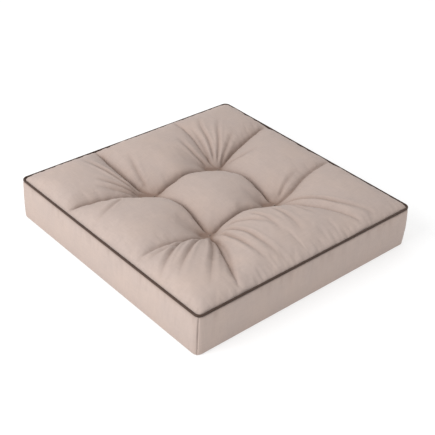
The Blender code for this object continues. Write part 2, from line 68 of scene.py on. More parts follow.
# Sizes of the visible surface that the frame doesn't give.
CORNER_RADIUS = 0.014
CLOTH = 0.0008
TOP_CELLS, BOTTOM_CELLS = 150, 90
TUFT_SPOT, TUFT_SPREAD, TUFT_FUNNEL = 0.008, 0.055, 0.050
POCKETS = [(-0.012, 0.008), (-0.018, 0.010), (-0.019, 0.014), (-0.021, 0.018)]
PUFF = 0.50
CREASE_DEPTH, CREASE_WIDTH = 0.0080, 0.0034
PUCKER = 0.0015
HEM = [(0, 0.0012), (0.0006, 0.0090)]
LINING_STEP = 3
FOLD_ROOM = 0.0062


# ---------------------------------------------------------------- shapes


def add_object(name, points, faces):
    mesh = bpy.data.meshes.new(name)
    mesh.from_pydata([tuple(p) for p in points], [], faces)
    mesh.validate()
    mesh.shade_smooth()
    made = bpy.data.objects.new(name, mesh)
    bpy.context.scene.collection.objects.link(made)
    return made


def read(data, key, width=3):
    """One named value of every mesh element, a row each."""
    found = np.empty(len(data) * width, np.float32)
    data.foreach_get(key, found)
    return found.reshape(-1, width).astype(float)


def places(item):
    return read(item.data.vertices, "co")


def normals(item):
    return read(item.data.vertices, "normal")


def noted(item, name):
    return read(item.data.attributes[name].data, "value", 1)[:, 0]


def note(item, name, values):
    made = item.data.attributes.new(name, "FLOAT", "POINT")
    made.data.foreach_set("value", np.asarray(values, np.float32))


def note_cloth(item, flat):
    """Keeps each point's place on the flat cloth, in metres, for the weave to follow."""
    made = item.data.attributes.new("cloth", "FLOAT_VECTOR", "POINT")
    made.data.foreach_set("vector", np.column_stack([flat, np.zeros(len(flat))]).astype(np.float32).ravel())


def set_places(item, points):
    item.data.vertices.foreach_set("co", points.astype(np.float32).ravel())
    item.data.update()


def apply_modifiers(item):
    graph = bpy.context.evaluated_depsgraph_get()
    mesh = bpy.data.meshes.new_from_object(item.evaluated_get(graph))
    item.modifiers.clear()
    item.data = mesh
    return item


def modified(item, kind, **settings):
    """Adds a modifier with these settings and applies it."""
    step = item.modifiers.new(kind.lower(), kind)
    for key, value in settings.items():
        setattr(step, key, value)
    return apply_modifiers(item)


def subdivided(item):
    return modified(item, "SUBSURF", levels=1, render_levels=1, boundary_smooth="PRESERVE_CORNERS")


def thickened(item, thickness):
    """Gives a sheet its thickness on the side its normals point away from."""
    return modified(item, "SOLIDIFY", thickness=thickness, offset=-1)


def remeshed(name, node, voxel, passes):
    """A finely remeshed copy of a CAD node, its edges softened by some passes of smoothing."""
    made = bpy.data.objects.new(name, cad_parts[node].data.copy())
    made.data.materials.clear()
    bpy.context.scene.collection.objects.link(made)
    modified(made, "REMESH", mode="VOXEL", voxel_size=voxel, use_smooth_shade=True)
    return modified(made, "SMOOTH", factor=0.5, iterations=passes)


def face_outwards(item):
    """Turns the faces so that the biggest part of them looks away from the middle of the cushion."""
    total = sum(f.area * f.normal.dot(f.center - Vector((0, 0, 0.05))) for f in item.data.polygons)
    if total < 0:
        item.data.flip_normals()


def placed(piece, node=None, body="cushion"):
    """Puts a piece on its body, in place of its CAD node if it has one."""
    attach(piece, body)
    if node:
        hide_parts(node)
    return piece


def grid_faces(rows, columns, wrap_rows=False, wrap_columns=False):
    """Quads over a grid of points numbered row by row."""
    faces = []
    for r in range(rows if wrap_rows else rows - 1):
        for c in range(columns if wrap_columns else columns - 1):
            here, after = r * columns, (r + 1) % rows * columns
            d = (c + 1) % columns
            faces.append((here + c, here + d, after + d, after + c))
    return faces


def smooth_line(points, per_span=8):
    """A Catmull-Rom curve in metres through points in plan, given in millimetres."""
    p = np.array(points, float) / 1000
    p = np.vstack([2 * p[0] - p[1], p, 2 * p[-1] - p[-2]])
    t = np.linspace(0, 1, per_span, endpoint=False)[:, None]
    spans = [
        0.5 * (2 * b + (c - a) * t + (2 * a - 5 * b + 4 * c - d) * t**2 + (3 * b - a - 3 * c + d) * t**3)
        for a, b, c, d in zip(p, p[1:], p[2:], p[3:])
    ]
    return np.vstack([*spans, p[-2]])


def distances(line):
    """How far along a line each of its points is."""
    return np.concatenate([[0], np.cumsum(np.hypot(*(line[1:] - line[:-1]).T))])


def distance_to(line, x, y):
    """(signed distance, share of the way along) of each point from a line in plan."""
    lengths = np.hypot(*(line[1:] - line[:-1]).T)
    starts = distances(line)
    best = np.full(x.shape, 1e9)
    side, along = np.zeros(x.shape), np.zeros(x.shape)
    for (ax, ay), (bx, by), length, start in zip(line, line[1:], lengths, starts):
        ux, uy = (bx - ax) / length, (by - ay) / length
        t = np.clip((x - ax) * ux + (y - ay) * uy, 0, length)
        dx, dy = x - ax - t * ux, y - ay - t * uy
        d = np.hypot(dx, dy)
        nearer = d < best
        best = np.where(nearer, d, best)
        side = np.where(nearer, np.sign(ux * dy - uy * dx), side)
        along = np.where(nearer, (start + t) / starts[-1], along)
    return best * np.where(side == 0, 1, side), along


def wander(points, size, seed):
    """Smooth noise between about -1 and 1 at each point, its features about size across."""
    offset = Vector((seed * 7.31, seed * 3.17, seed * 5.93))
    return np.array([noise.noise(Vector(p) / size + offset) for p in points]) * 1.6


def along_wander(along, size, seed):
    """Smooth noise along a line."""
    return wander(np.column_stack([along, 0 * along, 0 * along]), size, seed)


def from_tuft(x, y):
    return np.min([np.hypot(x - a, y - b) for a, b in TUFTS], axis=0)


def from_pocket(x, y):
    """Distance in plan from the nearest pocket: the cloth is gathered a little to one side of each tuft."""
    lines = [np.array([(a, b), (a + across, b + along)]) for (a, b), (across, along) in zip(TUFTS, POCKETS)]
    return np.min([abs(distance_to(line, x, y)[0]) for line in lines], axis=0)


# ---------------------------------------------------------------- the tufted top

# The valleys between the pillows: how much of the pillow's rise is left in each at its start and at its end,
# and its route in plan from a tuft, in millimetres. The first four ring the middle pillow.
VALLEYS = [
    (0.00, 0.00, [(-93, 93), (-30, 97), (35, 98), (93, 93)]),
    (0.00, 0.00, [(93, 93), (97, 35), (97, -30), (93, -93)]),
    (0.00, 0.00, [(-93, -93), (-35, -90), (30, -89), (93, -93)]),
    (0.00, 0.00, [(-93, 93), (-87, 30), (-88, -35), (-93, -93)]),
    (0.00, 0.30, [(-93, 93), (-150, 108), (-220, 122), (-300, 128)]),
    (0.00, 0.25, [(-93, 93), (-110, 150), (-113, 220), (-106, 300)]),
    (0.20, 0.85, [(-93, -93), (-150, -99), (-220, -99), (-300, -104)]),
    (0.00, 0.80, [(-93, -93), (-118, -145), (-150, -205), (-196, -300)]),
    (0.35, 0.85, [(93, -93), (100, -130), (115, -173), (135, -220), (166, -300)]),
    (0.25, 0.60, [(93, -93), (140, -95), (200, -80), (300, -66)]),
    (0.00, 0.40, [(93, 93), (150, 110), (220, 127), (300, 149)]),
    (0.40, 0.90, [(93, 93), (92, 140), (103, 215), (110, 300)]),
]

# Fine folds on the finished top: route in plan, depth and half width, in millimetres.
FOLDS = [
    ([(-116, 122), (-138, 172), (-152, 220), (-168, 266)], 5.2, 4.2),
    ([(-120, 116), (-152, 146), (-186, 178)], 5.2, 4.2),
    ([(-94, 116), (-86, 165), (-68, 225)], 3.0, 5.5),
    ([(-124, 110), (-160, 130), (-204, 158)], 3.2, 4.5),
    ([(98, 112), (122, 160), (142, 215), (165, 250)], 3.6, 4.2),
    ([(102, 106), (136, 142), (170, 185), (200, 220)], 3.2, 4.2),
    ([(78, 116), (66, 160), (62, 205)], 3.4, 4.6),
    ([(106, 100), (150, 128), (196, 158)], 2.8, 4.2),
    ([(90, 116), (106, 170), (120, 232)], 3.0, 3.8),
    ([(-140, -104), (-181, -108), (-236, -137), (-288, -172)], 5.0, 4.4),
    ([(-118, -102), (-152, -118), (-226, -170), (-266, -200)], 4.6, 5.0),
    ([(-104, -106), (-142, -158), (-194, -214), (-240, -262)], 3.8, 5.6),
    ([(-100, -110), (-124, -172), (-160, -234), (-192, -268)], 3.0, 4.6),
    ([(-86, -112), (-92, -172), (-96, -215), (-95, -262)], 4.8, 4.6),
    ([(-74, -110), (-66, -165), (-67, -207), (-66, -280)], 4.2, 5.0),
    ([(-62, -106), (-24, -150), (-4, -205)], 3.0, 5.2),
    ([(-10, -120), (-4, -170), (-18, -235)], 2.4, 6.0),
    ([(44, -130), (34, -190), (20, -250)], 2.6, 6.0),
    ([(104, -106), (140, -165), (166, -224), (204, -286)], 4.6, 4.2),
    ([(92, -112), (86, -165), (92, -220)], 3.0, 4.5),
    ([(-180, 88), (-235, 62), (-280, 46)], 2.8, 4.8),
    ([(-180, -112), (-235, -116), (-285, -120)], 2.6, 4.8),
    ([(112, 88), (150, 70), (190, 62)], 2.4, 4.8),
    ([(112, -86), (152, -70), (196, -60)], 2.4, 4.8),
]
DEEP_FOLD = 0.005


def valleys_at(x, y):
    """(distance to the nearest valley, share of the pillow's rise that it keeps) of each point in plan."""
    near, kept = np.full(x.shape, 1.0), np.ones(x.shape)
    for first, last, points in VALLEYS:
        d, t = distance_to(smooth_line(points), x, y)
        nearer = abs(d) < near
        near = np.where(nearer, abs(d), near)
        kept = np.where(nearer, first + (last - first) * t**1.5, kept)
    return near, kept


def valley_height(x, y):
    """Height above the seam of the valleys' bottoms: deep at the tufts, level with the seam far from them."""
    tuft = np.maximum(0, from_pocket(x, y) - TUFT_SPOT)
    return TUFT_FLOOR * np.exp(-tuft / TUFT_SPREAD)


def membrane(fixed, value, source, passes=500):
    """Heights of a membrane held at value where fixed, and pushed up by source elsewhere."""
    found = value.copy()
    index = np.add.outer(np.arange(len(found)), np.arange(len(found)))
    free = [(index % 2 == colour) & ~fixed for colour in (0, 1)]
    around = np.zeros_like(found)
    for _ in range(passes):
        for part in free:
            around[1:-1, 1:-1] = found[2:, 1:-1] + found[:-2, 1:-1] + found[1:-1, 2:] + found[1:-1, :-2]
            found[part] += 1.85 * ((around[part] + source) / 4 - found[part])
    return found


def pillow_heights(x, y):
    """Start shape of the top: pillows that stand between the valleys like blown-up membranes."""
    cell = 2 * PANEL_REACH / TOP_CELLS
    edge = np.maximum(abs(x), abs(y)) > PANEL_REACH - cell / 2
    spot = from_pocket(x, y) < TUFT_SPOT
    near, kept = valleys_at(x, y)
    line = near < cell * 0.6
    open_rise = membrane(edge | spot | (line & (kept == 0)), np.zeros(x.shape), 1.0)
    rise = membrane(edge | spot | line, np.where(edge | spot, 0, open_rise * kept**2), 1.0)
    rise = (rise / rise.max()) ** PUFF
    funnel = np.tanh(np.maximum(0, from_pocket(x, y) - TUFT_SPOT) / TUFT_FUNNEL) ** 0.5
    return valley_height(x, y) + CROWN_TOP * rise * funnel, near, kept


def rounded_plan(x, y, reach, radius):
    """Moves the grid points of a square sheet's corners onto round ones."""
    inner = reach - radius
    over_x, over_y = np.maximum(0, abs(x) - reach + radius), np.maximum(0, abs(y) - reach + radius)
    both = (over_x > 0) & (over_y > 0)
    share = np.where(both, np.maximum(over_x, over_y) / np.maximum(np.hypot(over_x, over_y), 1e-9), 1)
    x = np.where(both, np.sign(x) * (inner + over_x * share), x)
    y = np.where(both, np.sign(y) * (inner + over_y * share), y)
    return x, y


def square_sheet(reach, cells):
    """Plan of a square sheet's grid: before and after its corners are rounded."""
    axis = np.linspace(-reach, reach, cells + 1)
    x, y = np.meshgrid(axis, axis, indexing="ij")
    return x, y, *rounded_plan(x, y, reach, CORNER_RADIUS - (HALF - reach))


def hemmed(item, steps):
    """Turns a sheet's boundary down by steps of (inwards, down)."""
    mesh = bmesh.new()
    mesh.from_mesh(item.data)
    for inwards, down in steps:
        rim = [edge for edge in mesh.edges if edge.is_boundary]
        for part in bmesh.ops.extrude_edge_only(mesh, edges=rim)["geom"]:
            if isinstance(part, bmesh.types.BMVert):
                flat = Vector((part.co.x, part.co.y, 0))
                part.co -= flat.normalized() * inwards + Vector((0, 0, down))
    mesh.to_mesh(item.data)
    mesh.free()


def grouped(item, name, shares, least):
    """Adds a vertex group of the points whose share is above the least."""
    group = item.vertex_groups.new(name=name)
    for index in np.flatnonzero(shares > least):
        group.add([int(index)], float(shares[index]), "REPLACE")


def blown_up(item, held, pressure=3.0, growth=0.011, cap=0.006, steps=20):
    """Inflates the sheet by a cloth simulation, its held points staying, and caps how far a point moves."""
    start = places(item)
    grouped(item, "held", held, 0.01)
    cloth = item.modifiers.new("cloth", "CLOTH")
    settings = dict(
        quality=6, mass=0.25, tension_stiffness=25, compression_stiffness=12, shear_stiffness=6,
        bending_stiffness=0.4, vertex_group_mass="held", pin_stiffness=1.0, shrink_min=-growth,
        use_pressure=True, uniform_pressure_force=pressure,
    )
    for key, value in settings.items():
        setattr(cloth.settings, key, value)
    cloth.settings.effector_weights.gravity = 0
    cloth.collision_settings.use_collision = False
    scene = bpy.context.scene
    scene.frame_start, scene.frame_end = 1, steps
    cloth.point_cache.frame_start, cloth.point_cache.frame_end = 1, steps
    for number in range(1, steps + 1):
        scene.frame_set(number)
    apply_modifiers(item)
    scene.frame_set(1)
    moved = places(item) - start
    far = np.linalg.norm(moved, axis=1)
    set_places(item, start + moved * np.minimum(1, cap / np.maximum(far, 1e-9))[:, None])


def fold_heights(x, y):
    """(depth, painted shade) of the fine folds, each with a low ridge on both sides, fading out at its far
    end.
    """
    total, painted_shade = np.zeros(x.shape), np.zeros(x.shape)
    for points, depth, width in FOLDS:
        line, depth, width = smooth_line(points), depth / 1000, width / 1000
        reach = 4 * width
        box = (x > line[:, 0].min() - reach) & (x < line[:, 0].max() + reach)
        box &= (y > line[:, 1].min() - reach) & (y < line[:, 1].max() + reach)
        d, t = distance_to(line, x[box], y[box])
        taper = np.clip(t / 0.12, 0, 1) * np.clip((1 - t) / 0.5, 0, 1) ** 0.8
        spread = width * (0.55 + 0.75 * t)
        groove = np.exp(-((abs(d) / spread) ** 1.15))
        ridge = np.exp(-(((abs(d) - 2.1 * spread) / spread) ** 2))
        total[box] += depth * taper * (0.42 * ridge - groove)
        painted_shade[box] = np.maximum(painted_shade[box], taper * groove * depth / DEEP_FOLD)
    return total, painted_shade


def seam_puckers(x, y):
    """Small gathers where the top is sewn to the piping, fading out inwards."""
    inside = PANEL_REACH - np.maximum(abs(x), abs(y))
    round_edge = np.where(abs(x) > abs(y), y + 0.7 * np.sign(x), x + 1.9 * np.sign(y))
    gathers = along_wander(round_edge, 0.011, 1) + 0.8 * along_wander(round_edge, 0.034, 2)
    return PUCKER * gathers * np.exp(-inside / 0.016) * np.tanh(inside / 0.0025)


def make_top():
    """The tufted top, and the plain grid of its cloth before hem, creases and folds."""
    x, y, plan_x, plan_y = square_sheet(PANEL_REACH, TOP_CELLS)
    height, near, kept = pillow_heights(x, y)
    edge = np.maximum(abs(x), abs(y)) > PANEL_REACH - 1e-6
    points = np.column_stack([plan_x.ravel(), plan_y.ravel(), (SEAM + height).ravel()])
    top = add_object("tufted_top", points, grid_faces(TOP_CELLS + 1, TOP_CELLS + 1))
    face_outwards(top)
    crease = (1 - kept) * np.exp(-((near / 0.004) ** 2))
    spot = from_pocket(x, y) < TUFT_SPOT + 0.001
    blown_up(top, np.maximum.reduce([edge * 1.0, spot * 1.0, crease * 0.9]).ravel())
    under = places(top).reshape(TOP_CELLS + 1, TOP_CELLS + 1, 3)
    hemmed(top, HEM)
    subdivided(top)
    finish_top(top)
    lining = under_cloth(under)[::LINING_STEP, ::LINING_STEP]
    edge = edge[::LINING_STEP, ::LINING_STEP]
    hem_in, hem_down = np.sum(HEM, axis=0)
    lining[edge, :2] *= 1 - (hem_in + CLOTH) / PANEL_REACH
    lining[edge, 2] = SEAM - hem_down
    closed_below(top, lining)
    placed(top, "top_panel")
    return top, under


def under_cloth(under):
    """Points that clear the underside of the top's cloth with its creases and folds, from its plain grid."""
    spread = range(-LINING_STEP, LINING_STEP + 1)
    lowest = np.min([np.roll(under[..., 2], (i, j), (0, 1)) for i in spread for j in spread], axis=0)
    near, kept = valleys_at(under[..., 0], under[..., 1])
    return np.dstack([under[..., :2], lowest - CREASE_DEPTH * (1 - kept) * (near < 0.012) - FOLD_ROOM])


def closed_below(item, grid):
    """Closes an open piece with a coarse grid of points under it, joining the grid's rim to its own."""
    mesh = bmesh.new()
    mesh.from_mesh(item.data)
    made = [[mesh.verts.new(point) for point in row] for row in grid]
    faces = []
    for row, after in zip(made, made[1:]):
        faces += zip(row, row[1:], after[1:], after)
    rim = made[0][:-1] + [row[-1] for row in made[:-1]] + made[-1][:0:-1] + [row[0] for row in made[:0:-1]]

    def neighbours(vert):
        return [edge.other_vert(vert) for edge in vert.link_edges if edge.is_boundary]

    ends = {vert for edge in mesh.edges if edge.is_boundary for vert in edge.verts}
    ring = [min(ends, key=lambda vert: (vert.co - rim[0].co).length)]
    ring.append(min(neighbours(ring[0]), key=lambda vert: (vert.co - rim[1].co).length))
    while len(ring) < len(ends):
        ring += [vert for vert in neighbours(ring[-1]) if vert is not ring[-2]]
    share = len(ring) // len(rim)
    ring += ring[:1]
    for number, corner in enumerate(rim):
        outer = ring[number * share:(number + 1) * share + 1]
        faces.append((*outer, rim[(number + 1) % len(rim)], corner))
    for face in faces:
        mesh.faces.new(face).smooth = True
    bmesh.ops.recalc_face_normals(mesh, faces=mesh.faces)
    mesh.to_mesh(item.data)
    mesh.free()


def finish_top(top):
    """Sharpens the creases, adds folds, gathers and slack, and notes the painted shade of each point: along
    the creases, in the pits round the tufts and down in the folds.
    """
    p = places(top)
    near, kept = valleys_at(p[:, 0], p[:, 1])
    grouped(top, "eased", np.clip(1.3 * (1 - kept) * np.exp(-((near / 0.007) ** 2)), 0, 1), 0.05)
    modified(top, "SMOOTH", factor=0.5, iterations=3, vertex_group="eased")
    p = places(top)
    x, y = p[:, 0], p[:, 1]
    folds, painted_shade = fold_heights(x, y)
    slack = 0.0009 * wander(np.column_stack([x, y, 0 * x]), 0.050, 3) + 0.0003 * wander(p, 0.017, 4)
    inside = PANEL_REACH - np.maximum(abs(x), abs(y))
    near_tuft = from_pocket(x, y)
    calm = np.clip(inside / 0.02, 0, 1) * np.clip((near_tuft - TUFT_SPOT) / 0.02, 0, 1)
    lift = folds + slack * calm + seam_puckers(x, y)
    lift *= np.clip((near_tuft - TUFT_SPOT * 0.7) / 0.006, 0, 1)
    lift *= p[:, 2] > SEAM - 0.001 - 0.03 * (inside > 0.01)
    near, kept = valleys_at(x, y)
    cut = (1 - kept) * np.exp(-((near / CREASE_WIDTH) ** 1.2))
    cut *= np.clip((near_tuft - TUFT_SPOT) / 0.012, 0, 1)
    p += normals(top) * (lift * np.clip(inside / 0.003, 0, 1))[:, None]
    p[:, 2] -= CREASE_DEPTH * cut * np.clip((inside - 0.006) / 0.020, 0, 1)
    set_places(top, p)
    # Painted shade, kept in the crease attribute: dark lines along the valleys, wider pits round the tufts,
    # and the grooves of the fine folds.
    line = (1 - kept) * (0.85 * np.exp(-near / 0.0028) + 0.25 * np.exp(-near / 0.014))
    beyond = np.maximum(0, near_tuft - TUFT_SPOT * 0.8)
    pit = 0.6 * np.exp(-beyond / 0.008) + 0.4 * np.exp(-beyond / 0.026)
    shade = np.maximum(line * np.clip(inside / 0.03, 0.25, 1) + 0.5 * pit, pit) + 0.6 * painted_shade
    note(top, "crease", np.clip(shade, 0, 1))
    note_cloth(top, np.column_stack([x, y]))


# ---------------------------------------------------------------- walls and bottom

# Sections of a wall's turned-in edges, as (depth behind the wall's face, height from the edge).
BOTTOM_TURN = [(0.0024, 0.0085), (0.0023, 0.0040), (0.0017, 0.0012), (0.0008, 0.0006), (0.0001, 0.0024)]
TOP_TURN = [(0.0000, -0.0018), (0.0004, -0.0005), (0.0013, 0.0), (0.0021, -0.0016), (0.0023, -0.0080)]
HEM_TURN = [
    (0.0, -0.0020), (0.0003, -0.0006), (0.0010, 0.0), (0.0018, -0.0006), (0.0021, -0.0030), (0.0021, -0.0110),
]

# How a wall's end rolls in beside the corner's diagonal, in millimetres: how far aside of it, how far out
# along it from the corner's centre, and how much of the edges' depth is left there.
CORNER_ROLL = [(0.9, 13.97, 0.8), (0.34, 13.82, 0.5), (0.08, 13.4, 0.3), (0.04, 11.5, 0.2), (0.04, 7.0, 0.2)]
CORNER_ANGLES = [10, 20, 29, 36]
WALL_COLUMNS, WALL_ROW = 62, 0.0045
TURNED_IN = 0.3044
FULLNESS, SWAY, GATHERS, SEAM_GATHERS, TUGS = 0.0016, 0.0008, 0.00080, 0.00035, 0.00045


def wall_path():
    """Plan of the wall on the +Y side: its points, outward normals, how much of the edges' depth is left, and
    the length along it. Its ends turn in along the corners' diagonals."""
    centre = HALF - CORNER_RADIUS
    diagonal, sideways = np.array([1, 1]) / math.sqrt(2), np.array([-1, 1]) / math.sqrt(2)
    half = [((t * centre, HALF), (0, 1), 1) for t in np.linspace(0, 1, WALL_COLUMNS) ** 0.96]
    for angle in np.radians(CORNER_ANGLES):
        normal = (math.sin(angle), math.cos(angle))
        half.append(((centre + CORNER_RADIUS * normal[0], centre + CORNER_RADIUS * normal[1]), normal, 1))
    for number, (aside, out, left) in enumerate(CORNER_ROLL):
        point = centre + diagonal * out / 1000 + sideways * aside / 1000
        half.append((tuple(point), tuple(diagonal if number == 0 else -sideways), left))
    full = [((-p[0], p[1]), (-n[0], n[1]), left) for p, n, left in half[:0:-1]] + half
    points = np.array([p for p, n, left in full])
    return points, np.array([n for p, n, left in full]), np.array([row[2] for row in full]), distances(points)


def wall_profile(low, high, bottom, top):
    """(depth, height) rows of a wall between its turned-in lower and upper edges."""
    rows = [(depth, low + z) for depth, z in bottom]
    first, last = rows[-1][1], high + top[0][1]
    count = max(2, round((last - first) / WALL_ROW))
    rows += [(0.0, z) for z in np.linspace(first, last, count + 1)[1:-1]]
    return np.array(rows + [(depth, high + z) for depth, z in top])


def wall_gathers(along, height, seed):
    """Small upright folds in a wall's cloth, and how strong they are: most just under the piping."""
    p = np.column_stack([along, height, np.full(len(along), 0.1 * seed)])
    folds = wander(p * [1, 0.22, 1], 0.0105, seed + 1) + 0.7 * wander(p * [1, 0.3, 1], 0.026, seed + 2)
    below = WALL_TOP - height
    return folds, np.exp(-np.maximum(0, below - 0.004) / 0.020) * np.clip(below / 0.004, 0, 1)


def wall_lift(along, height, seed):
    """How far a wall's cloth stands out: full midway up, gathered by the piping, tugged at the corners."""
    p = np.column_stack([along, height, np.full(len(along), 0.1 * seed)])
    middle = np.clip(np.sin(np.pi * np.clip(height / WALL_TOP, 0, 1)), 0, 1)
    gathers, under_piping = wall_gathers(along, height, seed)
    over_seam = np.exp(-np.maximum(0, height - 0.003) / 0.009) * np.clip(height / 0.004, 0, 1)
    corner = np.exp(-np.maximum(0, HALF - CORNER_RADIUS + 0.008 - abs(along)) / 0.014)
    return (
        FULLNESS * middle**0.6
        + SWAY * wander(p * [1, 1.6, 1], 0.085, seed) * middle
        + GATHERS * gathers * under_piping
        + SEAM_GATHERS * gathers * over_seam
        + TUGS * wander(p * [0.35, 1, 1], 0.013, seed + 3) * corner * middle
    )


def make_wall(name, node, turn, low, high, bottom=BOTTOM_TURN, top=TOP_TURN, seed=10):
    """A wall or a strip of one, turned from the +Y side by turn, in place of the CAD node."""
    path, outward, left, along = wall_path()
    rows = wall_profile(low, high, bottom, top)
    points, flat, still = [], [], []
    for (x, y), (nx, ny), share, s in zip(path, outward, left, along):
        for (depth, z), v in zip(rows, distances(rows)):
            points.append((x - nx * depth * share, y - ny * depth * share, z))
            flat.append((s - along[-1] / 2, v))
            still.append(1.0 if share == 1 and depth < 0.0002 else 0.0)
    wall = add_object(name, points, grid_faces(len(path), len(rows)))
    note_cloth(wall, np.array(flat))
    note(wall, "free", still)
    subdivided(wall)
    p = places(wall)
    s = read(wall.data.attributes["cloth"].data, "vector")[:, 0]
    angle = np.arctan2(np.maximum(0, abs(p[:, 0]) - HALF + CORNER_RADIUS), p[:, 1] - HALF + CORNER_RADIUS)
    out = np.column_stack([np.sign(p[:, 0]) * np.sin(angle), np.cos(angle), 0 * s])
    p += out * (wall_lift(s, p[:, 2], seed) * noted(wall, "free"))[:, None]
    # Painted shade, kept in the crease attribute: in the corner seams' grooves, under the piping, in the
    # hollows of the gathers, and more of it towards the floor.
    in_seam = np.exp(-np.maximum(0, TURNED_IN - abs(s)) / 0.0025) * (abs(s) > 0.29)
    under_piping = np.exp(-np.maximum(0, high - 0.001 - p[:, 2]) / 0.0025)
    folds, under = wall_gathers(s, p[:, 2], seed)
    shade = 0.25 * in_seam + 0.35 * under_piping + 0.22 * np.clip(-folds, 0, 1) * under
    shade += 0.16 * np.exp(-np.maximum(0, p[:, 2]) / 0.025)
    note(wall, "crease", np.clip(shade, 0, 1))
    c, q = math.cos(math.radians(turn)), math.sin(math.radians(turn))
    set_places(wall, np.column_stack([p[:, 0] * c - p[:, 1] * q, p[:, 0] * q + p[:, 1] * c, p[:, 2]]))
    face_outwards(wall)
    thickened(wall, CLOTH)
    placed(wall, node)
    return wall


def make_bottom():
    """The plain underside: level, turned up at its edges, and drawn up to a button under each tuft."""
    x, y = (values.ravel() for values in square_sheet(BOTTOM_REACH, BOTTOM_CELLS)[2:])
    rows = BOTTOM_CELLS + 1
    bottom = add_object("underside", np.column_stack([x, y, 0 * x]), grid_faces(rows, rows))
    hemmed(bottom, [(0, -0.0010), (0, -0.0030), (0.0001, -0.0050)])
    subdivided(bottom)
    p = places(bottom)
    x, y = p[:, 0], p[:, 1]
    rim = p[:, 2] > 0.0001
    near = from_tuft(x, y)
    angle = np.min(
        [np.arctan2(y - b, x - a) + 9 * (np.hypot(x - a, y - b) > near + 1e-9) for a, b in TUFTS], axis=0
    )
    dimple_top, dimple_reach, button_reach = BUTTON_LOW.z + 0.0026, 0.041, 0.0145
    t = np.clip((dimple_reach - near) / (dimple_reach - button_reach), 0, 1)
    dimple = dimple_top * t * t * (3 - 2 * t)
    pleats = 0.0009 * np.cos(11 * angle + 1.5 * np.sin(3 * angle)) * np.sin(np.pi * t) ** 2
    inside = BOTTOM_REACH - np.maximum(abs(x), abs(y))
    slack = 0.0006 * (1 + wander(p, 0.06, 31)) * np.clip(inside / 0.03, 0, 1)
    gathers = 0.0007 * (1 + wander(p, 0.012, 32)) * np.exp(-inside / 0.012) * np.clip(inside / 0.003, 0, 1)
    lift = np.where(rim, 0, np.maximum(0, dimple + pleats + slack * (1 - t) + gathers))
    edge = 0.0012 * np.exp(-inside / 0.0012)
    set_places(bottom, p + np.column_stack([0 * t, 0 * t, lift + edge * ~rim + 0.0001]))
    note_cloth(bottom, p[:, :2])
    # Painted shade, kept in the crease attribute: along the turned-up edge and in the dimple round each
    # button.
    shade = 0.6 * np.exp(-inside / 0.003) + 0.5 * np.exp(-np.maximum(0, near - 0.011) / 0.003)
    note(bottom, "crease", np.clip(shade, 0, 1))
    face_outwards(bottom)
    thickened(bottom, CLOTH)
    placed(bottom, "bottom_panel")
    return bottom


# ---------------------------------------------------------------- piping

STRIP_THICKNESS = 0.0005
STRIP_LEAN = -0.0012
TWIST_PITCH = 0.0042


def round_path(reach, radius, step):
    """Points, outward normals and lengths round a square with rounded corners."""
    inner = reach - radius
    found = []
    count, turns = round(2 * inner / step), 10
    for quarter in range(4):
        c, s = math.cos(quarter * math.pi / 2), math.sin(quarter * math.pi / 2)
        local = [((reach, t), (1, 0)) for t in np.linspace(-inner, inner, count, endpoint=False)]
        for a in np.linspace(0, math.pi / 2, turns, endpoint=False):
            n = (math.cos(a), math.sin(a))
            local.append(((inner + radius * n[0], inner + radius * n[1]), n))
        found += [[(v[0] * c - v[1] * s, v[0] * s + v[1] * c) for v in pair] for pair in local]
    points = np.array([p for p, n in found])
    around = np.hypot(*(np.roll(points, -1, axis=0) - points).T)
    return points, np.array([n for p, n in found]), np.concatenate([[0], np.cumsum(around)[:-1]])


def piping_outline():
    """Section of the folded strip, outwards and up: a ring whose two plies hang down into the seam."""
    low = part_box("piping_cover")[0].z - SEAM

    def ring(radius, first, last, count):
        angles = np.linspace(math.radians(first), math.radians(last), count)
        return [(radius * math.cos(a), radius * math.sin(a)) for a in angles]

    def upright(aside, *heights):
        return [(STRIP_LEAN + aside, height) for height in heights]

    return [
        *upright(0.0007, low, -0.0042),
        *ring(PIPE_RADIUS, -98, 234, 22),
        *upright(-0.0007, -0.0042, low),
        *upright(-0.0002, low, -0.0040),
        *ring(PIPE_RADIUS - STRIP_THICKNESS, 238, -102, 16),
        *upright(0.0002, -0.0040, low),
    ]


def make_piping():
    """The piping's folded bias strip, twisted a little round its cord, and the cord."""
    path, outward, along = round_path(PIPE_REACH, PIPE_REACH - HALF + CORNER_RADIUS, 0.0035)
    outline = piping_outline()
    points, flat, wear = [], [], []
    for (x, y), (nx, ny), s, sway in zip(path, outward, along, along_wander(along, 0.05, 41)):
        for out, up in outline:
            angle = math.atan2(up, out)
            twist = 0.5 + 0.5 * math.sin((s - 0.0035 * angle) / TWIST_PITCH * 2 * math.pi / 2.2 + 2.2 * sway)
            on_ring = up > -PIPE_RADIUS and math.hypot(out, up) > PIPE_RADIUS - 0.0001
            swell = (1 - 0.055 * twist**3 * (0.6 + 0.4 * sway)) if on_ring else 1
            points.append((x + nx * out * swell, y + ny * out * swell, SEAM + up * swell + 0.00012 * sway))
            flat.append((s * 0.707 + angle * 0.0018, s * 0.707 - angle * 0.0018))
            wear.append(max(0, math.cos(angle - 0.9)) ** 3 if on_ring else 0)
    cover = add_object("piping_strip", points, grid_faces(len(path), len(outline), True, True))
    note_cloth(cover, np.array(flat))
    note(cover, "wear", wear)
    face_outwards(cover)
    placed(cover, "piping_cover")
    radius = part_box("piping_cord")[1].z - SEAM
    centres = np.column_stack([path, np.full(len(path), SEAM)])
    cord = twisted("piping_filler", centres, along, radius, 3, 0.009, 8)
    return cover, placed(cord, "piping_cord")


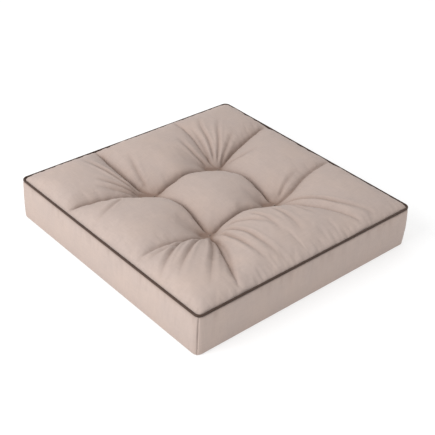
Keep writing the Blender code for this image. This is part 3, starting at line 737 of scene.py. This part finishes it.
def twisted(name, centres, along, radius, plies, pitch, sides):
    """A closed cord of twisted plies round a path, as one lobed tube; each ply has this many sides."""
    ahead = np.roll(centres, -1, axis=0) - np.roll(centres, 1, axis=0)
    ahead /= np.linalg.norm(ahead, axis=1)[:, None]
    aside = np.cross(ahead, [0, 0, 1])
    upright = np.linalg.norm(aside, axis=1) < 0.2
    aside[upright] = np.cross(ahead[upright], [0, 1, 0])
    aside /= np.linalg.norm(aside, axis=1)[:, None]
    above = np.cross(aside, ahead)
    ring = sides * plies
    angles = np.linspace(0, 2 * math.pi, ring, endpoint=False)
    turns = along / (along[-1] + 1e-9) * round(along[-1] / pitch) * 2 * math.pi
    points = []
    for centre, u, v, turn in zip(centres, aside, above, turns):
        lobes = radius * (0.72 + 0.28 * abs(np.cos(plies * (angles - turn) / 2)) ** 0.7)
        points += list(centre + np.outer(lobes * np.cos(angles), u) + np.outer(lobes * np.sin(angles), v))
    cord = add_object(name, points, grid_faces(len(centres), ring, True, True))
    face_outwards(cord)
    return cord


# ---------------------------------------------------------------- filling


def make_block(name, node, voxel, ruffle, size, seed):
    """A soft block made from a CAD node, its edges softened and its surface ruffled inwards by noise."""
    block = remeshed(name, node, voxel, 3)
    p = places(block)
    lift = -ruffle * 0.5 * (1 + wander(p, size, seed))
    set_places(block, p + normals(block) * np.minimum(0, lift)[:, None])
    placed(block, node)
    return block


def make_topper(under):
    """The fibre that fills the pillows: a closed pad a little inside the top cloth, on top of the foam."""
    low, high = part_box("fibre_topper")
    reach, base = high.x - 0.0005, low.z
    upper = under_cloth(under)
    upper[:2, :, 2] = upper[-2:, :, 2] = upper[:, :2, 2] = upper[:, -2:, 2] = SEAM - 0.014
    upper = upper[::2, ::2]
    count = len(upper)
    upper[..., :2] = np.clip(upper[..., :2], -reach, reach)
    fluff = 0.0012 * (1 + wander(upper.reshape(-1, 3), 0.009, 51)).reshape(count, count)
    upper[..., 2] = np.maximum(upper[..., 2] - 0.0005 - fluff, base + 0.004)
    lower = upper.copy()
    lower[..., 2] = base + 0.0003
    square = count * count
    faces = grid_faces(count, count)
    faces += [tuple(square + i for i in reversed(f)) for f in faces]
    number = np.arange(square).reshape(count, count)
    rim = [int(i) for i in (*number[0, :-1], *number[:-1, -1], *number[-1, :0:-1], *number[:0:-1, 0])]
    faces += [(a, a + square, b + square, b) for a, b in zip(rim, rim[1:] + rim[:1])]
    pad = add_object("fibre_pad", np.vstack([upper.reshape(-1, 3), lower.reshape(-1, 3)]), faces)
    face_outwards(pad)
    placed(pad, "fibre_topper")
    return pad


# ---------------------------------------------------------------- tufting


def make_twine(number):
    """The loop of two-ply twine that ties one tuft down to its button, in place of the CAD loop."""
    low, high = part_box(f"tuft_twine_{number}")
    bend = 0.0016
    x = [high.x - TWINE_RADIUS - bend, low.x + TWINE_RADIUS + bend]
    z = [high.z - TWINE_RADIUS - bend, low.z + TWINE_RADIUS + bend]
    route = []
    for cx, cz, first in ((x[0], z[0], 0), (x[1], z[0], 90), (x[1], z[1], 180), (x[0], z[1], 270)):
        for angle in np.radians(first + np.linspace(0, 90, 6)):
            route.append((cx + bend * math.cos(angle), cz + bend * math.sin(angle)))
    route = np.array(route + route[:1])
    starts = distances(route)
    along = np.linspace(0, starts[-1], 260, endpoint=False)
    x, z = np.interp(along, starts, route[:, 0]), np.interp(along, starts, route[:, 1])
    centres = np.column_stack([x, np.full(len(x), (low.y + high.y) / 2), z])
    twine = twisted(f"twine_loop_{number}", centres, along, TWINE_RADIUS, 2, 0.0042, 6)
    return placed(twine, f"tuft_twine_{number}")


# ---------------------------------------------------------------- zip

COIL_WIRE, COIL_PITCH = 0.00036, 0.0016
STITCH, STITCH_GAP, STITCH_RADIUS = 0.0027, 0.0005, 0.00034


def make_tape(which):
    """One of the zip's woven tapes, with the ribs of its weave."""
    low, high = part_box(f"zip_tape_{which}")
    columns, rows = 200, 13
    v = np.linspace(0, 1, rows)
    z = low.z + (high.z - low.z) * (v if which == "upper" else 1 - v)
    points, flat = [], []
    for a in np.linspace(low.x, high.x, columns):
        for b, t in zip(z, v):
            ripple = 0.00003 * math.sin(a / 0.009) + 0.000025 * math.cos(t * 19)
            points.append((a, high.y - 0.00007 + ripple, b))
            flat.append((a, b))
    tape = add_object(f"zip_tape_{which}_woven", points, grid_faces(columns, rows))
    note_cloth(tape, np.array(flat))
    face_outwards(tape)
    thickened(tape, 0.0004)
    placed(tape, f"zip_tape_{which}")
    return tape


def make_scrap(name, first, last, low, high, back, painted_shade):
    """A flat scrap of cover cloth behind the rear wall's slot, from first to last along it, darkened all over
    by an even painted shade, as it lies back in the slot's shadow.
    """
    columns, rows = max(24, round((last - first) / 0.006)), 9
    points = []
    for a in np.linspace(first, last, columns):
        for b in np.linspace(low, high, rows):
            points.append((a, back + 0.00010 * math.sin(a / 0.0031) * math.cos((b - ZIP_MIDDLE) / 0.004), b))
    scrap = add_object(name, points, grid_faces(columns, rows))
    note_cloth(scrap, places(scrap)[:, [0, 2]])
    note(scrap, "crease", np.full(len(points), painted_shade))
    face_outwards(scrap)
    subdivided(scrap)
    thickened(scrap, 0.0002)
    placed(scrap)
    return scrap


def make_scraps():
    """The two tabs that close the slot beyond the zip's ends, and the guard behind the zip's rows."""
    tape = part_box("zip_tape_lower")
    inner, outer = tape[1].x - 0.034, HALF - 0.0045
    low, high = OPENING_LOW - 0.006, OPENING_HIGH + 0.006
    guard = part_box("zip_slider")[0].y - 0.0008
    # The last number for each scrap is the strength of its painted shade.
    return [
        make_scrap("zip_end_tab_left", -outer, -inner, low, high, HALF - 0.0024, 0.3),
        make_scrap("zip_end_tab_right", inner, outer, low, high, HALF - 0.0024, 0.3),
        make_scrap("zip_guard", tape[0].x, tape[1].x, low - 0.006, high + 0.006, guard, 0.5),
    ]


def make_coil(which):
    """One row of the zip: a flattened helix of stiff filament, its turns bulging towards the other row."""
    low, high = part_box(f"zip_coil_{which}")
    steps, sides = 12, 6
    turns = int((high.x - low.x - 2 * COIL_WIRE) / COIL_PITCH)
    toward = 1 if which == "lower" else -1
    t = np.arange(turns * steps + 1) / steps * 2 * math.pi
    wide, deep = (high.z - low.z) / 2 - COIL_WIRE, (high.y - low.y) / 2 - COIL_WIRE
    centres = np.column_stack([
        low.x + COIL_WIRE + t / (2 * math.pi) * COIL_PITCH,
        (low.y + high.y) / 2 + deep * np.sin(t),
        (low.z + high.z) / 2 + toward * wide * np.cos(t),
    ])
    ahead = np.gradient(centres, axis=0)
    ahead /= np.linalg.norm(ahead, axis=1)[:, None]
    u = np.cross(ahead, [1, 0, 0])
    u /= np.linalg.norm(u, axis=1)[:, None]
    v = np.cross(ahead, u)
    angles = np.linspace(0, 2 * math.pi, sides, endpoint=False)
    ring = [(math.cos(a), math.sin(a)) for a in angles]
    points = [c + COIL_WIRE * (a * cu + b * cv) for c, cu, cv in zip(centres, u, v) for a, b in ring]
    faces = grid_faces(len(centres), sides, False, True)
    faces += [tuple(range(sides))[::-1], tuple(range(len(points) - sides, len(points)))]
    coil = add_object(f"zip_coil_{which}_wound", points, faces)
    return placed(coil, f"zip_coil_{which}")


def cast(name, node, voxel, passes, shaped=None, body="cushion"):
    """A metal piece made from a CAD node: finely remeshed, its edges softened, then shaped."""
    made = remeshed(name, node, voxel, passes)
    if shaped is not None:
        set_places(made, shaped(places(made)))
    return placed(made, node, body)


def shield(p):
    """Gives the slider's front plate its outline: round shoulders, and a narrower tail towards the pull."""
    low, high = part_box("zip_slider")
    front = p[:, 1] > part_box("zip_coil_upper")[1].y + 0.0004
    t = np.clip((p[:, 0] - low.x) / (high.x - low.x), 0, 1)
    outline = (0.74 + 0.26 * np.sin(t * math.pi / 2)) * (1 - np.clip(abs(2 * t - 1), 0, 1) ** 7 * 0.55)
    edge = np.clip(abs(p[:, 2] - ZIP_MIDDLE) / 0.0025, 0, 1)
    p[:, 2] = ZIP_MIDDLE + (p[:, 2] - ZIP_MIDDLE) * np.where(front, 1 + (outline - 1) * edge, 1)
    return p


def leaf(p):
    """Rounds the pull's free end and sinks a shallow panel into both its faces."""
    low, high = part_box("zip_pull")
    middle = (low.y + high.y) / 2
    radius = (high.z - low.z) / 2
    t = np.clip((low.x + radius - p[:, 0]) / radius, 0, 0.999)
    waist = 1 - 0.14 * np.clip(np.sin((p[:, 0] - low.x) / (high.x - low.x) * math.pi), 0, 1)
    p[:, 2] = ZIP_MIDDLE + (p[:, 2] - ZIP_MIDDLE) * np.sqrt(1 - t * t) * waist
    along = np.clip(1 - ((p[:, 0] - low.x - 0.0075) / 0.0052) ** 4, 0, 1)
    across = np.clip(1 - ((p[:, 2] - ZIP_MIDDLE) / 0.0019) ** 4, 0, 1)
    p[:, 1] = middle + (p[:, 1] - middle) * (1 - 0.30 * np.clip(4 * along * across, 0, 1))
    return p


def make_stitches(name, first, last, z, seed):
    """A line of topstitching along the rear wall: short lengths of thread whose ends dip into the cloth."""
    rings, sides = 6, 7
    count = int((last - first) / (STITCH + STITCH_GAP))
    starts = first + (STITCH + STITCH_GAP) * np.arange(count)
    lift = wall_lift(starts + STITCH / 2, np.full(count, z), seed) + 0.00012
    points, faces = [], []
    for start, out in zip(starts, lift):
        begin = len(points)
        for t in np.linspace(0, 1, rings):
            rise = math.sin(math.pi * t) ** 0.5
            r = STITCH_RADIUS * (0.35 + 0.65 * rise)
            for a in np.linspace(0, 2 * math.pi, sides, endpoint=False):
                y = HALF + out + 0.00042 * rise - 0.0003 + r * math.sin(a) * 0.8
                points.append((start + STITCH * t, y, z + r * math.cos(a)))
        faces += [tuple(begin + i for i in f) for f in grid_faces(rings, sides, False, True)]
        end = begin + (rings - 1) * sides
        faces += [tuple(range(begin, begin + sides))[::-1], tuple(range(end, end + sides))]
    line = add_object(name, points, faces)
    face_outwards(line)
    return placed(line)


# ---------------------------------------------------------------- the camera and the light

# The camera's angles in degrees: azimuth, elevation and roll. Its distance, and where it looks, right and up
# of the origin, are shares of the cushion's side.
CAMERA_ANGLES = (-42.86, 34.02, 3.03)
CAMERA_DISTANCE, CAMERA_RIGHT, CAMERA_UP, CAMERA_LENS = 3.609, 0.01545, 0.04285, 80.55
ROOM_LIGHT, ROOM_SEEN = 0.78, 1.05
KEY_PLACE, KEY_TARGET, KEY_SIZE, KEY_POWER = (-2.3, 0.25, 1.75), (0, 0, 0.06), 1.9, 51
FLOOR_SIZE, FLOOR_GLOW, FLOOR_COLOUR = 14, 0.58, (0.48, 0.48, 0.48)


def make_camera():
    """The three-quarter view from above, past the corner between the left and front walls."""
    azimuth, elevation, roll = (math.radians(a) for a in CAMERA_ANGLES)
    side = 2 * HALF
    right = Vector((math.cos(azimuth), math.sin(azimuth), 0))
    away = Vector((math.sin(azimuth), -math.cos(azimuth), 0))
    back = away * math.cos(elevation) + Vector((0, 0, math.sin(elevation)))
    up = back.cross(right)
    place = right * CAMERA_RIGHT * side + up * CAMERA_UP * side + back * CAMERA_DISTANCE * side
    axes = [
        right * math.cos(roll) + up * math.sin(roll),
        up * math.cos(roll) - right * math.sin(roll),
        back,
        place,
    ]
    data = bpy.data.cameras.new("camera")
    data.lens = CAMERA_LENS
    data.sensor_width = 36
    data.clip_start, data.clip_end = 0.05, 50
    camera = bpy.data.objects.new("camera", data)
    bpy.context.scene.collection.objects.link(camera)
    camera.matrix_world = Matrix([*[[axis[i] for axis in axes] for i in range(3)], [0, 0, 0, 1]])
    bpy.context.scene.camera = camera


def make_light():
    """A pale room that looks a little brighter to the camera than it lights, and one large soft key light."""
    world = bpy.data.worlds.new("studio")
    world.use_nodes = True
    nodes, links = world.node_tree.nodes, world.node_tree.links
    plain = nodes["Background"]
    plain.inputs["Color"].default_value = (1, 1, 1, 1)
    plain.inputs["Strength"].default_value = ROOM_LIGHT
    seen = nodes.new("ShaderNodeBackground")
    seen.inputs["Strength"].default_value = ROOM_SEEN
    path = nodes.new("ShaderNodeLightPath")
    mix = nodes.new("ShaderNodeMixShader")
    links.new(path.outputs["Is Camera Ray"], mix.inputs["Fac"])
    links.new(plain.outputs[0], mix.inputs[1])
    links.new(seen.outputs[0], mix.inputs[2])
    links.new(mix.outputs[0], nodes["World Output"].inputs["Surface"])
    scene = bpy.context.scene
    scene.world = world
    scene.view_settings.view_transform = "Standard"
    scene.view_settings.look = "None"
    data = bpy.data.lights.new("key", "AREA")
    data.shape, data.size, data.energy = "DISK", KEY_SIZE, KEY_POWER
    lamp = bpy.data.objects.new("key", data)
    lamp.location = KEY_PLACE
    lamp.rotation_euler = (Vector(KEY_TARGET) - Vector(KEY_PLACE)).to_track_quat("-Z", "Y").to_euler()
    scene.collection.objects.link(lamp)


def make_floor():
    corners = [(-1, -1, 0), (1, -1, 0), (1, 1, 0), (-1, 1, 0)]
    floor = add_object("floor", [Vector(corner) * FLOOR_SIZE for corner in corners], [(0, 1, 2, 3)])
    floor.data.materials.append(floor_material())


# ---------------------------------------------------------------- materials


def faded(colour, share):
    return tuple(c * share for c in colour)


class Nodes:
    """Short calls to build one material's node tree."""

    def __init__(self, name):
        self.material = bpy.data.materials.new(name)
        self.material.use_nodes = True
        self.tree = self.material.node_tree
        self.shader = self.tree.nodes["Principled BSDF"]

    def node(self, kind, **settings):
        made = self.tree.nodes.new(kind)
        for key, value in settings.items():
            setattr(made, key, value)
        return made

    def put(self, socket, value):
        if isinstance(value, bpy.types.NodeSocket):
            self.tree.links.new(value, socket)
        else:
            socket.default_value = value

    def math(self, operation, a, b=0.0, c=0.0):
        made = self.node("ShaderNodeMath", operation=operation)
        for socket, value in zip(made.inputs, (a, b, c)):
            self.put(socket, value)
        return made.outputs[0]

    def total(self, first, *others):
        for value in others:
            first = self.math("ADD", first, value)
        return first

    def attribute(self, name, output="Fac"):
        return self.node("ShaderNodeAttribute", attribute_name=name).outputs[output]

    def scaled(self, vector, scale):
        made = self.node("ShaderNodeMapping")
        self.put(made.inputs["Vector"], vector)
        made.inputs["Scale"].default_value = scale
        return made.outputs[0]

    def noise(self, vector, scale, detail=2.0, roughness=0.5):
        made = self.node("ShaderNodeTexNoise")
        self.put(made.inputs["Vector"], vector)
        for name, value in (("Scale", scale), ("Detail", detail), ("Roughness", roughness)):
            made.inputs[name].default_value = value
        return made.outputs["Fac"]

    def grain(self, scale, detail=2.0, roughness=0.5, stretch=None):
        """Noise through the object's own space, squeezed along each axis by stretch."""
        place = self.node("ShaderNodeTexCoord").outputs["Object"]
        return self.noise(self.scaled(place, stretch) if stretch else place, scale, detail, roughness)

    def cells(self, scale):
        made = self.node("ShaderNodeTexVoronoi")
        self.put(made.inputs["Vector"], self.node("ShaderNodeTexCoord").outputs["Object"])
        made.inputs["Scale"].default_value = scale
        return made.outputs["Distance"]

    def spread(self, value, low, high, first=0.0, last=1.0):
        """Maps value from low..high to first..last."""
        made = self.node("ShaderNodeMapRange")
        for socket, given in zip(made.inputs, (value, low, high, first, last)):
            self.put(socket, given)
        return made.outputs[0]

    def mix(self, share, first, last, how="MIX"):
        made = self.node("ShaderNodeMix", data_type="RGBA", blend_type=how)
        self.put(made.inputs[0], share)
        self.put(made.inputs[6], (*first, 1) if isinstance(first, tuple) else first)
        self.put(made.inputs[7], (*last, 1) if isinstance(last, tuple) else last)
        return made.outputs[2]

    def tinted(self, colour, brightness):
        """A colour times a brightness."""
        made = self.node("ShaderNodeVectorMath", operation="SCALE")
        self.put(made.inputs[0], colour)
        self.put(made.inputs["Scale"], brightness)
        return made.outputs[0]

    def bump(self, height, distance, strength=1.0, normal=None):
        made = self.node("ShaderNodeBump")
        self.put(made.inputs["Height"], height)
        made.inputs["Distance"].default_value = distance
        made.inputs["Strength"].default_value = strength
        if normal is not None:
            self.put(made.inputs["Normal"], normal)
        return made.outputs[0]

    def finish(self, colour, roughness, normal, **constants):
        """Fills the shader's sockets; the constants are set on the sockets themselves."""
        self.put(self.shader.inputs["Base Color"], colour)
        self.put(self.shader.inputs["Roughness"], roughness)
        self.put(self.shader.inputs["Normal"], normal)
        for name, value in constants.items():
            self.shader.inputs[name.replace("_", " ")].default_value = value
        return self.material


def woven(n, flat, pitch):
    """Height of a plain weave: threads both ways, each over and under in turn."""
    split = n.node("ShaderNodeSeparateXYZ")
    n.put(split.inputs[0], n.scaled(flat, (1 / pitch, 1 / pitch, 1)))
    u, v = split.outputs[0], split.outputs[1]

    def threads(across, along, shift):
        profile = n.math("ABSOLUTE", n.math("SINE", n.math("MULTIPLY", across, math.pi)))
        phase = n.total(along, n.math("FLOOR", across), shift)
        over = n.math("MULTIPLY_ADD", n.math("COSINE", n.math("MULTIPLY", phase, math.pi)), 0.4, 0.6)
        return n.math("MULTIPLY", n.math("POWER", profile, 0.6), over)

    return n.math("MAXIMUM", threads(u, v, 0.0), threads(v, u, 1.0))


def cloth_material(name, colour, pitch=0.00062, painted_shade=0.8, worn=None, sheen=0.12):
    """Woven cotton: plain weave, uneven threads and mottled dye, with painted shade down in the creases,
    folds, tuft pits and seams.
    """
    n = Nodes(name)
    flat = n.attribute("cloth", "Vector")
    weave = woven(n, flat, pitch)
    slubs = [n.noise(n.scaled(flat, scale), 1.0) for scale in ((30, 900, 1), (900, 30, 1))]
    broad, fleck = n.grain(14.0, 3.0, 0.6), n.grain(260.0, 2.0, 0.7)
    # bright: random slubs and mottling of the yarn, and painted shade in the low places between the weave's
    # threads.
    bright = n.total(
        *[n.spread(slub, 0.3, 0.7, -0.035, 0.035) for slub in slubs],
        n.spread(broad, 0.3, 0.7, -0.035, 0.035),
        n.spread(fleck, 0.3, 0.7, -0.02, 0.02),
        n.spread(weave, 0.2, 1.0, 0.93, 1.03),
    )
    cooler = tuple(c * k for c, k in zip(colour, (1.0, 0.985, 0.965)))
    tone = n.mix(n.spread(broad, 0.35, 0.65), colour, cooler)
    if worn is not None:
        rubbed = n.math("MULTIPLY", n.attribute("wear"), n.spread(fleck, 0.4, 0.7, 0.1, 0.4))
        tone = n.mix(rubbed, tone, worn)
    # Painted shade: where the crease attribute is high, the cloth is darkened towards a warm shade colour.
    deep = n.mix(n.math("MULTIPLY", n.attribute("crease"), painted_shade), (1.0, 1.0, 1.0), PAINTED_SHADE_COLOUR)
    tone = n.mix(1.0, n.tinted(tone, bright), deep, "MULTIPLY")
    lumps = n.total(n.math("MULTIPLY", weave, 0.6), n.math("MULTIPLY", n.total(*slubs), 0.5))
    normal = n.bump(lumps, 0.00022, 0.55, n.bump(n.grain(90.0, 3.0, 0.6), 0.0008, 0.35))
    rough = n.spread(fleck, 0.3, 0.7, 0.84, 0.97)
    return n.finish(tone, rough, normal, Sheen_Weight=sheen, Sheen_Roughness=0.45, Specular_IOR_Level=0.25)


def fibre_material(name, colour, scale, depth):
    """Loose fibre: streaks that run every way, soft and matt."""
    n = Nodes(name)
    streaks = [n.grain(scale, 5.0, 0.7, stretch) for stretch in ((1, 5, 1), (5, 1, 2))]
    fluff = n.math("MAXIMUM", *streaks)
    tone = n.tinted(n.mix(n.grain(20.0), colour, faded(colour, 0.9)), n.spread(fluff, 0.3, 0.8, 0.8, 1.08))
    return n.finish(tone, n.spread(fluff, 0.3, 0.8, 0.98, 0.85), n.bump(fluff, depth, 0.8), Sheen_Weight=0.4)


def foam_material():
    """Cut foam: open pores of two sizes, painted darker inside as shade."""
    n = Nodes("foam")
    pores = n.math("MINIMUM", n.spread(n.cells(900), 0.0, 0.5), n.spread(n.cells(260), 0.0, 0.25))
    # Painted shade: the pores are coloured darker than the foam around them.
    tone = n.mix(pores, (0.55, 0.46, 0.27), (0.86, 0.79, 0.58))
    tone = n.tinted(tone, n.spread(n.grain(12.0, 3.0), 0.3, 0.7, 0.94, 1.04))
    rough = n.spread(pores, 0, 1, 0.98, 0.86)
    return n.finish(tone, rough, n.bump(pores, 0.0006, 0.8), Specular_IOR_Level=0.2)


def twisted_material(name, colour):
    """Spun thread or cord: fine fibres along it and a little uneven dye."""
    n = Nodes(name)
    fibres = n.grain(2200.0, 4.0, 0.7)
    tone = n.tinted(n.mix(n.grain(60.0), colour, faded(colour, 0.86)), n.spread(fibres, 0.3, 0.7, 0.82, 1.1))
    rough = n.spread(fibres, 0.3, 0.7, 0.75, 0.95)
    return n.finish(tone, rough, n.bump(fibres, 0.0002, 0.6), Sheen_Weight=0.3)


def metal_material():
    """Dark lacquered die-cast zip metal, rubbed brighter in patches and finely scratched."""
    n = Nodes("zip_metal")
    patches = n.grain(420.0, 3.0)
    scratches = n.grain(1.0, stretch=(300, 4000, 4000))
    tone = n.mix(n.spread(patches, 0.35, 0.75), (0.235, 0.190, 0.150), (0.340, 0.285, 0.225))
    rough = n.total(n.spread(patches, 0.3, 0.7, 0.36, 0.28), n.spread(scratches, 0.4, 0.7, 0.0, 0.12))
    return n.finish(tone, rough, n.bump(scratches, 0.00004, 0.5), Metallic=0.95)


def plastic_material(name, colour, roughness):
    """Moulded plastic with a faint grain and a mottled gloss."""
    n = Nodes(name)
    grain, cloud = n.grain(1500.0, 3.0, 0.6), n.grain(130.0)
    tone = n.tinted(n.mix(cloud, colour, faded(colour, 0.9)), n.spread(grain, 0.3, 0.7, 0.95, 1.04))
    rough = n.spread(cloud, 0.3, 0.7, roughness - 0.06, roughness + 0.08)
    return n.finish(tone, rough, n.bump(grain, 0.00006, 0.5), IOR=1.5)


def floor_material():
    """Matt pale studio paper that glows a little, so that shadows on it stay faint."""
    n = Nodes("floor_paper")
    tooth = n.grain(400.0)
    n.shader.inputs["Emission Color"].default_value = (1, 1, 1, 1)
    n.shader.inputs["Emission Strength"].default_value = FLOOR_GLOW
    tone = n.tinted(FLOOR_COLOUR, n.spread(tooth, 0.3, 0.7, 0.99, 1.0))
    return n.finish(tone, 0.95, n.bump(tooth, 0.0001, 0.2), Specular_IOR_Level=0.1)


# ---------------------------------------------------------------- everything together

# The cotton's own colour, and the warm colour of the painted shade in its creases, folds and pits.
COTTON, PAINTED_SHADE_COLOUR = (0.474, 0.385, 0.346), (0.37, 0.27, 0.21)
PIPING_COTTON, PIPING_WORN, CORD = (0.052, 0.030, 0.022), (0.16, 0.105, 0.08), (0.72, 0.66, 0.55)
TOPPER_FIBRE, UNDERLAY_FIBRE = (0.82, 0.81, 0.78), (0.78, 0.77, 0.73)
TAPE, THREAD, COIL, BUTTON = (0.42, 0.34, 0.29), (0.36, 0.285, 0.24), (0.36, 0.28, 0.23), (0.50, 0.41, 0.34)


def finished(material, *pieces):
    for piece in pieces:
        piece.data.materials.clear()
        piece.data.materials.append(material)


def make_cover():
    """The cover's cloth and its piping, and the plain grid of its top for the filling."""
    top, under = make_top()
    hem = [(depth, -z) for depth, z in HEM_TURN[::-1]]
    walls = [
        make_wall("wall_cloth_front", "front_wall", 180, 0, WALL_TOP, seed=10),
        make_wall("wall_cloth_right", "right_wall", -90, 0, WALL_TOP, seed=14),
        make_wall("wall_cloth_left", "left_wall", 90, 0, WALL_TOP, seed=18),
        make_wall("wall_cloth_rear_lower", "rear_wall_lower", 0, 0, OPENING_LOW, top=HEM_TURN, seed=22),
        make_wall("wall_cloth_rear_upper", "rear_wall_upper", 0, OPENING_HIGH, WALL_TOP, bottom=hem, seed=22),
    ]
    finished(cloth_material("cotton", COTTON), top, *walls, make_bottom(), *make_scraps())
    strip, cord = make_piping()
    finished(cloth_material("piping_cotton", PIPING_COTTON, 0.0005, 0.0, PIPING_WORN, 0.15), strip)
    finished(twisted_material("cord_cotton", CORD), cord)
    return under


def make_filling(under):
    """The fibre, the foam and the twine that tufts them."""
    finished(fibre_material("topper_fibre", TOPPER_FIBRE, 170.0, 0.0009), make_topper(under))
    foam = make_block("foam_slab", "foam_core", 0.005, 0.0006, 0.012, 61)
    finished(foam_material(), foam)
    fibre = make_block("fibre_sheet", "fibre_underlay", 0.0042, 0.0009, 0.010, 71)
    finished(fibre_material("underlay_fibre", UNDERLAY_FIBRE, 200.0, 0.0007), fibre)
    finished(twisted_material("twine_cotton", THREAD), *[make_twine(number) for number in range(1, 5)])


def make_zip():
    """The zip's tapes, rows, stops, slider and pull, and the stitching that holds its tapes."""
    weave = cloth_material("tape_weave", TAPE, 0.0005, 0.0, None, 0.1)
    finished(weave, make_tape("upper"), make_tape("lower"))
    finished(plastic_material("coil_plastic", COIL, 0.38), make_coil("upper"), make_coil("lower"))
    low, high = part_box("zip_tape_lower")
    first, last = low.x + 0.002, high.x - 0.002
    finished(
        twisted_material("topstitch_thread", THREAD),
        make_stitches("topstitching_lower", first, last, OPENING_LOW - 0.0042, 22),
        make_stitches("topstitching_upper", first, last, OPENING_HIGH + 0.0042, 22),
    )
    stops = ("zip_top_stop_upper", "zip_top_stop_lower", "zip_bottom_stop")
    finished(
        metal_material(),
        cast("slider_cast", "zip_slider", 0.00017, 5, shield, "zip_slider"),
        cast("pull_cast", "zip_pull", 0.00014, 4, leaf, "zip_pull"),
        *[cast(f"{node}_pressed", node, 0.00014, 6) for node in stops],
    )


def finish_buttons():
    """The buttons under the cushion stay as they are in CAD, with edges rounded for the render."""
    plastic = plastic_material("button_plastic", BUTTON, 0.42)
    for number in range(1, 5):
        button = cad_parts[f"tuft_button_{number}"]
        finished(plastic, button)
        step = button.modifiers.new("rounded", "BEVEL")
        step.width, step.segments = 0.0003, 3
        step.limit_method, step.angle_limit = "ANGLE", math.radians(35)
        step.harden_normals = False


make_camera()
make_light()
make_floor()
make_filling(make_cover())
make_zip()
finish_buttons()
